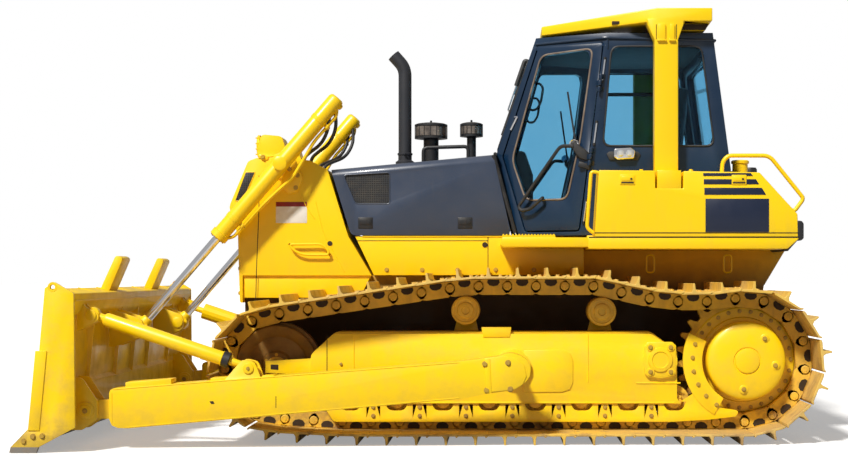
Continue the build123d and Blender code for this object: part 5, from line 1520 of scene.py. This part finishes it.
def build_shell():
    """Shell, doors and panes, with rubber round every pane and a drip rail round the roof."""
    cab_skin()
    reshaped("cab_glass", "cab_panes", GLASS, 0, is_upper_window, WINDOW_RISE)
    seals, rails = bmesh.new(), bmesh.new()
    for side, label in SIDES:
        reshaped(f"door_{label}", f"door_{label}_skin", STEEL["cab"], 5, is_door_head, DOOR_RISE)
        reshaped(f"door_glass_{label}", f"door_pane_{label}", GLASS, 0, is_door_head, DOOR_RISE)
        gasket = bmesh.new()
        add_ring(gasket, DOOR_WINDOW, lambda x, z: side * (door_y(x, z) + 1), 7, 60)
        keep(gasket, f"door_gasket_{label}", GASKET, f"door_{label}")
        add_ring(seals, SIDE_WINDOW, side * 791, 7, 60)
        add_rod(seals, [(-404, side * 538, 2034), (-562, side * 538, 1462)], 16, 1, 8)
        rail = [(-1996, side * 786, 2838), (-1205, side * 796, 2858), (-716, side * 535, 2846)]
        add_rod(rails, rail, 10, 30, 8)
        add_bead(rails, [(-1225, 2848), (-1225, 2780)], side * 793, 6)
    for (high_x, high_z), (low_x, low_z) in (WINDSHIELD, LOWER_PANE):
        top, foot = Vector((high_x, 0, high_z)), Vector((low_x, 0, low_z))
        run = (foot - top).normalized()
        start, end = top + run * 66, foot - run * 64
        top_half, foot_half = (455, 395) if high_z > WINDSHIELD[1][1] else (395, 500)
        corners = [(start.x, top_half, start.z), (start.x, -top_half, start.z),
                   (end.x, -foot_half, end.z), (end.x, foot_half, end.z)]
        add_rod(seals, corners, 9, 40, 8, closed=True)
    add_rod(seals, [(-416, -530, 2042), (-416, 530, 2042)], 14, 1, 8)
    rear_window = [(-2006, -600, 2740), (-2006, 600, 2740), (-2092, 600, 2080), (-2092, -600, 2080)]
    add_rod(seals, rear_window, 8, 60, 8, closed=True)
    add_rod(rails, [(-716, 535, 2846), (-716, -535, 2846)], 10, 1, 8)
    add_rod(rails, [(-1996, 786, 2838), (-1996, -786, 2838)], 10, 1, 8)
    keep(seals, "cab_seals", SEAL, "chassis")
    keep(rails, "drip_rails", STEEL["cab"], "chassis")


LAMP_BOX = [(-1268, 2060), (-1390, 2068), (-1424, 2040), (-1412, 1984), (-1290, 1976), (-1262, 2000)]
LAMP_PLATE = [(-1215, 2022), (-1236, 1976), (-1440, 1976), (-1462, 2018), (-1440, 2040), (-1236, 2040)]
DOOR_RAIL = [(-985, 2079), (-887, 2084), (-587, 1653), (-604, 1622), (-668, 1630), (-760, 1712)]
MIRROR_ARM = [(-985, 2112), (-1060, 2060), (-1112, 2010), (-1100, 1960), (-1020, 1992), (-975, 2052)]
DOOR_WIPER = [(-1000, 2090), (-968, 2300), (-942, 2480)]
WIPER_YS = (-300, 300)
HINGE_STRIPS = ((1536, 1682), (2100, 2244), (2550, 2700))


def over_door(rows, side, gap):
    """Points over the door's plane, from rows of (x, z)."""
    return [(x, side * (door_y(x, z) + gap), z) for x, z in rows]


def build_door_fittings(side, label):
    """A door's handrail, mirror and wiper, which swing with it."""
    bright, dark = bmesh.new(), bmesh.new()
    ends = over_door((DOOR_RAIL[0], DOOR_RAIL[-1]), side, 0)
    add_rod(dark, [ends[0], *over_door(DOOR_RAIL, side, 62), ends[1]], 13, 34, 10)
    plane = door_y(-1040, 2040)
    add_side_plate(dark, MIRROR_ARM, side, plane - 4, plane + 34, 10, 3)
    place = (-984, side * (door_y(-984, 2100) + 34), 2098)
    add_turned(bright, [(0, -20), (30, -20), (34, 6), (30, 12), (22, 8)], place, Y * side, 24)
    add_turned(dark, [(22, 8), (10, 14), (0, 15)], place, Y * side, 24)
    add_rod(dark, over_door(DOOR_WIPER, side, 8), 7, 40, 6)
    handle = [(-1010, 1930), (-1100, 1905), (-1104, 1945), (-1020, 1972)]
    add_side_plate(dark, handle, side, plane + 16, plane + 46, 8)
    keep(dark, f"door_handrail_{label}", PLASTIC, f"door_{label}")
    keep(bright, f"door_mirror_{label}", CHROME, f"door_{label}")


def build_cab_fittings():
    """Wipers, hinges, latches and the work lamps on the cab's corners."""
    bright, dark, lenses = bmesh.new(), bmesh.new(), bmesh.new()
    top, foot = (Vector((x, 0, z)) for x, z in WINDSHIELD)
    ahead = Vector((foot.z - top.z, 0, top.x - foot.x)).normalized() * -1
    run = (foot - top).normalized()
    for y in WIPER_YS:
        start = top + Vector((0, y, 0)) + run * 60 + ahead * 30
        add_rod(dark, [start - ahead * 30, start, start + run * 200], 17, 20, 8)
        add_rod(bright, [start + run * 190, start + run * 390, start + run * 400 - ahead * 18], 6, 10, 8)
        blade = start + run * 400 - ahead * 20
        add_rod(dark, [blade - run * 190 + Y * 60, blade + run * 190 + Y * 60], 8, 1, 6)
        add_rod(dark, [blade, blade + Y * 60], 5, 1, 6)
    for side, label in SIDES:
        for low, high in HINGE_STRIPS:
            foot_x, head_x = hinge_x(low) - 6, hinge_x(high) - 6
            add_rod(bright, [(foot_x, side * 797, low), (head_x, side * 797, high)], 7, 1, 8)
            for x, z in ((foot_x, low - 8), (head_x, high + 8)):
                add_turned(dark, [(0, -9), (10, -9), (10, 9), (0, 9)], (x, side * 796, z), Z, 12)
        latch = [(-560, side * (door_y(-560, 2312) - 2), 2316),
                 (-578, side * (door_y(-578, 2322) + 10), 2318),
                 (-530, side * (door_y(-530, 2222) + 10), 2222)]
        add_rod(bright, latch, 8, 12, 8)
        add_side_plate(dark, LAMP_PLATE, side, 789, 802, 5)
        add_side_plate(bright, LAMP_BOX, side, 800, 838, 12, 3)
        for x in (-1315, -1378):
            add_turned(lenses, [(26, 0), (24, 5), (12, 9), (0, 10)], (x, side * 837, 2022), Y * side, 24)
        build_door_fittings(side, label)
    keep(bright, "cab_bright_fittings", CHROME, "chassis")
    keep(dark, "cab_dark_fittings", PLASTIC, "chassis")
    keep(lenses, "work_lamp_lenses", LENS, "chassis")


DASH = [(-640, 1500), (-560, 1800), (-470, 2020), (-520, 2090), (-640, 2080), (-700, 1900), (-700, 1500)]
LEVER = [(30, 0), (26, 20), (18, 40), (9, 56), (9, 150), (24, 158), (28, 190), (22, 216), (0, 222)]
GRAB_LOOP = [(-705, 2560), (-745, 2566), (-770, 2530), (-752, 2420), (-722, 2372), (-682, 2368),
             (-664, 2392)]
ROOF_LINING = [(-1950, -690), (-1950, 690), (-1180, 690), (-770, 450), (-770, -450), (-1180, -690)]


def build_interior():
    """The seat, the control boxes with their levers, the dash and the inner grab loops."""
    floor = CAB_FLOOR_Z
    cushions, boxes, levers = bmesh.new(), bmesh.new(), bmesh.new()
    add_cushion(cushions, (-1720, -255, floor + 325), (-1252, 255, floor + 452), 46)
    lean = Matrix.Translation((-1700, 0, floor + 400)) @ Matrix.Rotation(radians(-7), 4, "Y")
    add_cushion(cushions, (-112, -238, 4), (12, 238, 700), 44, lean)
    add_cushion(cushions, (-96, -150, 590), (24, 150, 706), 36, lean)
    for y in (-80, 80):
        add_rod(levers, [(-1650, y, floor + 452), (-1290, y, floor + 452)], 3, 1, 6)
    add_block(boxes, (-1700, -190, floor), (-1340, 190, floor + 320), 18)
    add_plate(boxes, DASH, -300, 300, 22)
    for side, _ in SIDES:
        low, high = sorted((side * 292, side * 458))
        console = [(-1700, floor), (-1152, floor), (-1152, floor + 470), (-1200, floor + 518),
                   (-1700, floor + 512)]
        add_plate(boxes, console, low, high, 20, segments=3)
        add_turned(levers, LEVER, (-1192, side * 375, floor + 512), Vector((0.1, 0, 1)), 20)
        add_rod(levers, over_door(GRAB_LOOP, side, -74), 9, 30, 8, closed=True)
        add_cushion(cushions, (-1620, low + 12, floor + 512), (-1290, high - 12, floor + 560), 20)
    add_plate(cushions, ROOF_LINING, 2822, 2838, 6, along="Z")
    add_rod(boxes, [(-1210, -738, 2622), (-1960, -738, 2622)], 15, 1, 8)
    keep(cushions, "seat_cushions", CLOTH, "chassis", ("operator_station",))
    keep(boxes, "cab_consoles", PLASTIC, "chassis", ("operator_station",))
    keep(levers, "cab_levers", PLASTIC, "chassis", ("operator_station",))


def add_cushion(shape, low, high, crown, turn=None):
    """A padded block: full in the middle, drawn in along its edges and between its corners."""
    low, high = Vector(low), Vector(high)
    part = bmesh.new()
    bmesh.ops.create_cube(part, size=1)
    bmesh.ops.subdivide_edges(part, edges=part.edges[:], cuts=7, use_grid_fill=True)
    size, middle = high - low, (low + high) / 2
    for vertex in part.verts:
        place = vertex.co * 2
        for axis in range(3):
            others = [place[other] for other in range(3) if other != axis]
            fullness = (1 - others[0] ** 4) * (1 - others[1] ** 4)
            vertex.co[axis] = place[axis] * (size[axis] / 2 - crown * 0.5 * (1 - fullness))
    bmesh.ops.translate(part, vec=middle, verts=part.verts)
    if turn:
        bmesh.ops.transform(part, matrix=turn, verts=part.verts)
    take_in(shape, part)


build_shell()
build_cab_fittings()
build_interior()

# ---- side boxes, tank, roof frame --------------------------------------------------------
PLATFORM_Z = 1334
BOX_INNER_Y, BOX_STEP_Y, POST_OUTER_Y = 803, 822, 930
BOX_FRONT = [(-1112, 1416), (-1141, 1884)]
BOX_BACK = [(-2262, 1868), (-2527, 1578), (-2534, 1416)]
POST_NOTCH = [(-1535, 1880), (-1535, 1756), (-1730, 1756), (-1730, 1877)]
BOX_LIP = [(-1066, PLATFORM_Z), (-1066, DECK_Z), (-2534, DECK_Z), (-2534, 1402), (-2457, PLATFORM_Z)]
BOX_HANDLE = [(-1141, 1866), (-1088, 1876), (-1058, 1480), (-1104, 1446)]
BOX_STRIPES = (
    [(-1868, 1863), (-1868, 1843), (-2215, 1843), (-2199, 1863)],
    [(-1872, 1820), (-1872, 1785), (-2258, 1785), (-2236, 1820)],
    [(-1876, 1760), (-1876, 1712), (-2306, 1712), (-2277, 1760)],
    [(-1884, 1684), (-1884, 1452), (-2327, 1452), (-2327, 1684)],
)


def add_box_latch(fittings, dark, x, z, side):
    """A sunk latch on a side box: its frame, flap, a dark strip of painted shade under the flap, and lock."""
    wall = FENDER_OUTER_Y
    add_side_plate(fittings, oblong(x - 52, x + 52, z - 34, z + 36), side, wall - 6, wall + 4, 4)
    add_side_plate(fittings, oblong(x - 40, x + 40, z - 8, z + 24), side, wall, wall + 8)
    # painted shade: a dark strip under the flap
    add_side_plate(dark, oblong(x - 44, x + 44, z - 26, z - 14), side, wall, wall + 5, 1)
    add_turned(dark, [(8, 0), (7, 3), (0, 4)], (x - 26, side * (wall + 8), z + 6), Y * side, 12)


def build_boxes():
    """The side boxes: notched round the roof posts, with a lip, latches, stripes, a plate, dark seams and
    painted shade in the gaps beside the posts.
    """
    boxes, fittings, dark, stripes = (bmesh.new() for _ in range(4))
    wall = FENDER_OUTER_Y
    for side, _ in SIDES:
        outline = BOX_FRONT + BOX_BACK
        add_side_plate(boxes, BOX_FRONT + POST_NOTCH + BOX_BACK, side, POST_OUTER_Y, wall - 2, 8, 3)
        add_side_plate(boxes, outline, side, BOX_STEP_Y, POST_OUTER_Y, 6)
        add_side_plate(boxes, [(-1160, 1416), (-1160, 1884), *BOX_BACK], side, BOX_INNER_Y, BOX_STEP_Y, 4)
        low_y, high_y = sorted((side * POST_OUTER_Y, side * (wall - 6)))
        add_block(boxes, (-1716, low_y, 1750), (-1548, high_y, 1882), 5)
        add_side_plate(boxes, BOX_LIP, side, BOX_INNER_Y, wall, 6)
        add_side_plate(boxes, oblong(-2100, -1075, PLATFORM_Z + 2, 1436), side, 425, BOX_INNER_Y, 4)
        add_bead(dark, [(-1112, 1446), (-2528, 1446)], side * (wall - 1), 3)
        add_bead(dark, [(-1070, DECK_Z + 1), (-2534, DECK_Z + 1)], side * (wall - 1))
        # painted shade: dark plates in the gaps at the front and back of each roof post
        for x in (-1541, -1723):
            gap = oblong(x - 7, x + 7, 1750, 1878)
            add_side_plate(dark, gap, side, POST_OUTER_Y - 1, POST_OUTER_Y + 3, 1)
        add_bead(fittings, BOX_HANDLE, side * (wall - 22), 13, 34, 12)
        for x, z in ((-1340, 1816), (-2118, 1815)):
            add_box_latch(fittings, dark, x, z, side)
        for x in (-1442, -1790):
            add_bolt(fittings, (x, side * 1060, 1880), Z, 14, 10)
        for rows in BOX_STRIPES:
            add_side_plate(stripes, rows, side, wall - 3, wall + 1.2, 0.6)
    keep(boxes, "side_boxes", STEEL["yellow"], "chassis", ("fenders",))
    keep(fittings, "box_fittings", STEEL["yellow"], "chassis", ("handrails",))
    keep(dark, "box_seams_and_shade", STEEL["shade"], "chassis")
    keep(stripes, "box_stripes", STEEL["stripe"], "chassis")


TANK_SIDE = [(-2125, PLATFORM_Z), (-2125, 1868), (-2262, 1866), (-2526, 1578), (-2533, 1402),
             (-2457, PLATFORM_Z)]
TANK_HALF_WIDTH = 802
FILLER = [(78, 0), (78, 10), (58, 14), (56, 108), (66, 114), (66, 128), (58, 136), (0, 138)]
BREATHER = [(40, 0), (40, 60), (52, 66), (54, 150), (46, 166), (0, 168)]
REAR_BAR = [(-2522, 1532), (-2556, 1530), (-2571, 1512), (-2571, 1408), (-2554, 1392), (-2522, 1392)]
REAR_RAIL = [(-2028, 1866), (-2036, 1960), (-2076, 2002), (-2368, 2002), (-2606, 1704), (-2604, 1684),
             (-2546, 1606), (-2500, 1622)]
REAR_RAIL_Y = 900


def build_tank():
    """The fuel tank with its filler and breather, the rear guard and the grab rails."""
    tank, rails, guard = bmesh.new(), bmesh.new(), bmesh.new()
    add_plate(tank, TANK_SIDE, -TANK_HALF_WIDTH, TANK_HALF_WIDTH, 10, segments=3)
    add_turned(tank, FILLER, (-2222, 480, 1862), Z, 32)
    add_turned(guard, BREATHER, (-2322, 300, 1790), Z, 28)
    rib = [(-2280, 1854), (-2514, 1600), (-2520, 1590), (-2500, 1590), (-2270, 1846)]
    for y in (-500, 0, 500):
        add_plate(tank, rib, y - 4, y + 4, 1)
    add_plate(guard, REAR_BAR, -FENDER_OUTER_Y + 2, FENDER_OUTER_Y - 2, 8, segments=3)
    add_plate(guard, [(-2536, 1400), (-2462, 1318), (-2440, 1334), (-2526, 1408)], -1110, 1110, 3)
    for y in (-900, -450, 0, 450, 900):
        add_bolt(guard, (-2571, y, 1460), -X, 14, 9)
    for side, _ in SIDES:
        y = side * REAR_RAIL_Y
        add_bead(rails, REAR_RAIL, y, 15, 46, 12)
        for x, z in ((-2028, 1870), (-2512, 1606)):
            add_block(rails, (x - 26, y - 26, z - 12), (x + 26, y + 26, z + 4), 4)
    keep(tank, "fuel_tank_shell", STEEL["yellow"], "chassis", ("fuel_tank",))
    keep(rails, "rear_rails", STEEL["yellow"], "chassis", ("handrails",))
    keep(guard, "rear_guard", STEEL["black"], "chassis", ("bumper",))


POST_FACE_Y = 935
ROOF_EDGE_Y = 812


def build_roof_frame():
    """The roof, its beam and posts, with gussets and feet at the posts' heads, and painted shade under the
    roof's edge.
    """
    softened("rops", STEEL["yellow"], 8, 3)
    plates, dark = bmesh.new(), bmesh.new()
    for side, _ in SIDES:
        for front, back in ((-1573, -1624), (-1656, -1688)):
            gusset, foot = oblong(back, front, 2818, 2932), oblong(back - 7, front + 7, 2812, 2824)
            add_side_plate(plates, gusset, side, POST_FACE_Y - 6, POST_FACE_Y + 16, 1.5)
            add_side_plate(plates, foot, side, POST_FACE_Y - 4, POST_FACE_Y + 20, 1.5)
        # dark lines of painted shade along the post head's front and rear edges
        for x in (-1560, -1703):
            add_bead(dark, [(x, 2826), (x, 2930)], side * (POST_FACE_Y + 1), 2.5)
        # painted shade: a dark plate in a small pocket under the roof's edge, and a dark plate over the
        # beam's side where the roof shades it
        add_side_plate(dark, oblong(-1318, -1254, 2950, 2972), side, ROOF_EDGE_Y - 30, ROOF_EDGE_Y + 4, 2)
        slope = [(-1560, 2909), (-1560, 2953), (-1948, 2953), (-1924, 2909)]
        add_side_plate(dark, slope, side, ROOF_EDGE_Y - 6, ROOF_EDGE_Y, 1)
        for x in (-1000, -1300):
            add_bolt(plates, (x, side * 420, 2908), -Z, 16, 10)
    for x, y in ((-1650, -500), (-1650, 500), (-1860, -500), (-1860, 500)):
        add_bolt(plates, (x, y, 3049), Z, 18, 8)
    keep(plates, "roof_gussets", STEEL["yellow"], "chassis")
    keep(dark, "roof_painted_shade", STEEL["shade"], "chassis")


build_boxes()
build_tank()
build_roof_frame()

# ---- lift cylinders ----------------------------------------------------------------------
LIFT_LENGTH = hypot(LIFT_EYE[0] - LIFT_TRUNNION[0], LIFT_EYE[1] - LIFT_TRUNNION[1])
LIFT_BARREL = [(0, -632), (40, -630), (52, -622), (59, -606), (59, 652), (67, 656), (67, 700), (58, 706),
               (31, 708)]
PIPE_BOW = ((-560, 52), (-520, 80), (-282, 76), (-102, 108), (18, 128), (185, 106), (321, 92), (621, 84),
            (655, 60))
PIPE_CLAMPS = (-420, 520)


def build_lift(side, label):
    """One lift cylinder: barrel, gland, trunnion cap and oil pipe; rod and eye."""
    start, end = lift_point(0, side), lift_point(1000, side)
    run = (end - start).normalized()
    under = Y.cross(run).normalized()
    if under.z > 0:
        under = -under
    barrel, bolts, rod, eye = (bmesh.new() for _ in range(4))
    add_turned(barrel, LIFT_BARREL, start, run, 40)
    add_rod(barrel, [start + run * distance + under * drop for distance, drop in PIPE_BOW], 12, 40, 10)
    for distance in PIPE_CLAMPS:
        add_turned(barrel, [(59, -16), (62, -14), (62, 14), (59, 16)], start + run * distance, run, 40)
        middle = start + run * distance + under * 78
        add_turned(barrel, [(0, -14), (20, -14), (20, 14), (0, 14)], middle, run, 16)
        add_bolt(bolts, middle + under * 14, under, 7, 7)
    for index in range(8):
        turn = pi / 4 * index
        out = Y * side * cos(turn) + under * sin(turn)
        add_bolt(bolts, start + run * 704 + out * 50, run, 6, 6)
    outer = start + Y * side * 66
    add_turned(barrel, [(50, 0), (50, 10), (36, 16), (0, 17)], outer, Y * side, 28)
    add_turned(barrel, [(20, 0), (20, 26), (12, 30), (0, 31)], start + run * -590 + under * 40, under, 16)
    rod_end = LIFT_LENGTH - 52
    add_turned(rod, [(0, 500), (30, 500), (30, 1150), (30, rod_end), (0, rod_end)], start, run, 32)
    pin = lift_point(LIFT_LENGTH, side)
    neck = [(0, -90), (30, -92), (40, -84), (46, -60), (46, -20), (0, -10)]
    add_turned(eye, neck, pin, run, 28)
    add_turned(eye, [(38, -43), (60, -43), (62, -38), (62, 38), (60, 43), (38, 43), (38, -43)], pin, Y, 32)
    barrel_body, rod_body = f"lift_barrel_{label}", f"lift_rod_{label}"
    keep(barrel, f"lift_cylinder_{label}", STEEL["yellow"], barrel_body, (barrel_body,))
    keep(bolts, f"lift_bolts_{label}", STEEL["bolt"], barrel_body)
    keep(rod, f"lift_chrome_{label}", CHROME, rod_body, (rod_body,))
    keep(eye, f"lift_eye_{label}", STEEL["yellow"], rod_body, (rod_body,))


for side, label in SIDES:
    build_lift(side, label)

# ---- hull and platform -------------------------------------------------------------------
DECK_SECTION = [(-451, 1362), (-466, DECK_Z), (-1070, DECK_Z), (-1070, 1347), (-470, 1347)]
COMB_YS = (1118, 1010, 900, 790, 680, 575)
COMB_START_X, COMB_END_X, COMB_PITCH = -466, -840, 22
HULL_BOLT_XS = (380, 120, -140, -420, -700, -980)


def comb_rows():
    """The toothed outline of a grip strip on the deck."""
    comb = [(COMB_START_X, DECK_Z - 2)]
    for x in range(COMB_START_X, COMB_END_X + 4, -COMB_PITCH):
        comb += [(x, DECK_Z + 14), (x - 6, DECK_Z + 24), (x - 12, DECK_Z + 24), (x - 18, DECK_Z + 14)]
    return comb + [(COMB_END_X, DECK_Z - 2)]


def build_hull():
    """The hull and the platform under the cab, with the decks over the tracks."""
    softened("main_frame", HULL_PAINT, 8)
    softened("side_frames", STEEL["yellow"], 6)
    softened("drawbar", STEEL["yellow"], 6)
    detail, dark, treads, bolts = (bmesh.new() for _ in range(4))
    for side, _ in SIDES:
        face = side * HULL_WALL_Y
        add_bead(dark, [(-363, 1432), (-363, 1160)], face, 3)
        add_bead(detail, [(560, 1436), (-1060, 1436)], face + side * 2, 5)
        add_bead(dark, [(600, 1404), (-360, 1404)], face, 2.5)
        add_turned(dark, [(20, 0), (20, 4), (0, 5)], (-340, face, 1374), Y * side, 20)
        add_side_bolts(bolts, [(x, 1190) for x in HULL_BOLT_XS], face, side, 13, 8)
        add_side_plate(treads, DECK_SECTION, side, HULL_WALL_Y + 2, FENDER_OUTER_Y - 3, 5)
        for y in COMB_YS:
            add_side_plate(treads, comb_rows(), side, y - 4, y + 4, 0)
        for x in (-1560, -2130):
            add_ring(detail, oblong(x - 28, x + 28, 1300, 1170), side * 481, 7, 26)
        add_side_bolts(bolts, ((1380, 1100), (1250, 1100)), side * 480, side, 15, 9)
    keep(detail, "hull_ribs", STEEL["yellow"], "chassis")
    keep(dark, "hull_seams", STEEL["shade"], "chassis")
    keep(treads, "entry_steps", STEEL["yellow"], "chassis", ("steps",))
    keep(bolts, "hull_bolts", STEEL["bolt"], "chassis")


build_hull()

# ---- finish of the part's own nodes ------------------------------------------------------
NODE_FINISH = {
    "drawbar": "yellow", "side_frames": "yellow", "engine": "iron",
    "radiator_guard": "yellow", "grille": "black", "hood_centre": "hood", "exhaust": "soot",
    "pre_cleaners": "black", "cab_shell": "cab", "operator_station": "black", "rops": "yellow",
    "fuel_tank": "yellow", "bumper": "black", "fenders": "yellow", "handrails": "black", "steps": "black",
    "track_left": "track", "track_right": "track", "rollers": "track", "idlers": "track",
    "sprockets": "track", "track_frame_left": "yellow", "track_frame_right": "yellow",
    "push_arm_left": "yellow", "push_arm_right": "yellow",
    "blade_cutting_edge": "bare", "blade_brackets": "yellow", "blade_brace": "yellow",
    "tilt_barrel": "yellow", "lift_barrel_left": "yellow", "lift_barrel_right": "yellow",
    "door_left": "cab", "door_right": "cab", "engine_cover_left": "hood", "engine_cover_right": "hood",
}
for node, finish in NODE_FINISH.items():
    dress(node, STEEL[finish])
dress("main_frame", HULL_PAINT)
dress("blade_moldboard", BLADE_PAINT)
for node in ("tilt_rod", "lift_rod_left", "lift_rod_right"):
    dress(node, CHROME)
for node in ("cab_glass", "door_glass_left", "door_glass_right"):
    dress(node, GLASS)
for node in ("lift_hoses_left", "lift_hoses_right"):
    dress(node, RUBBER)
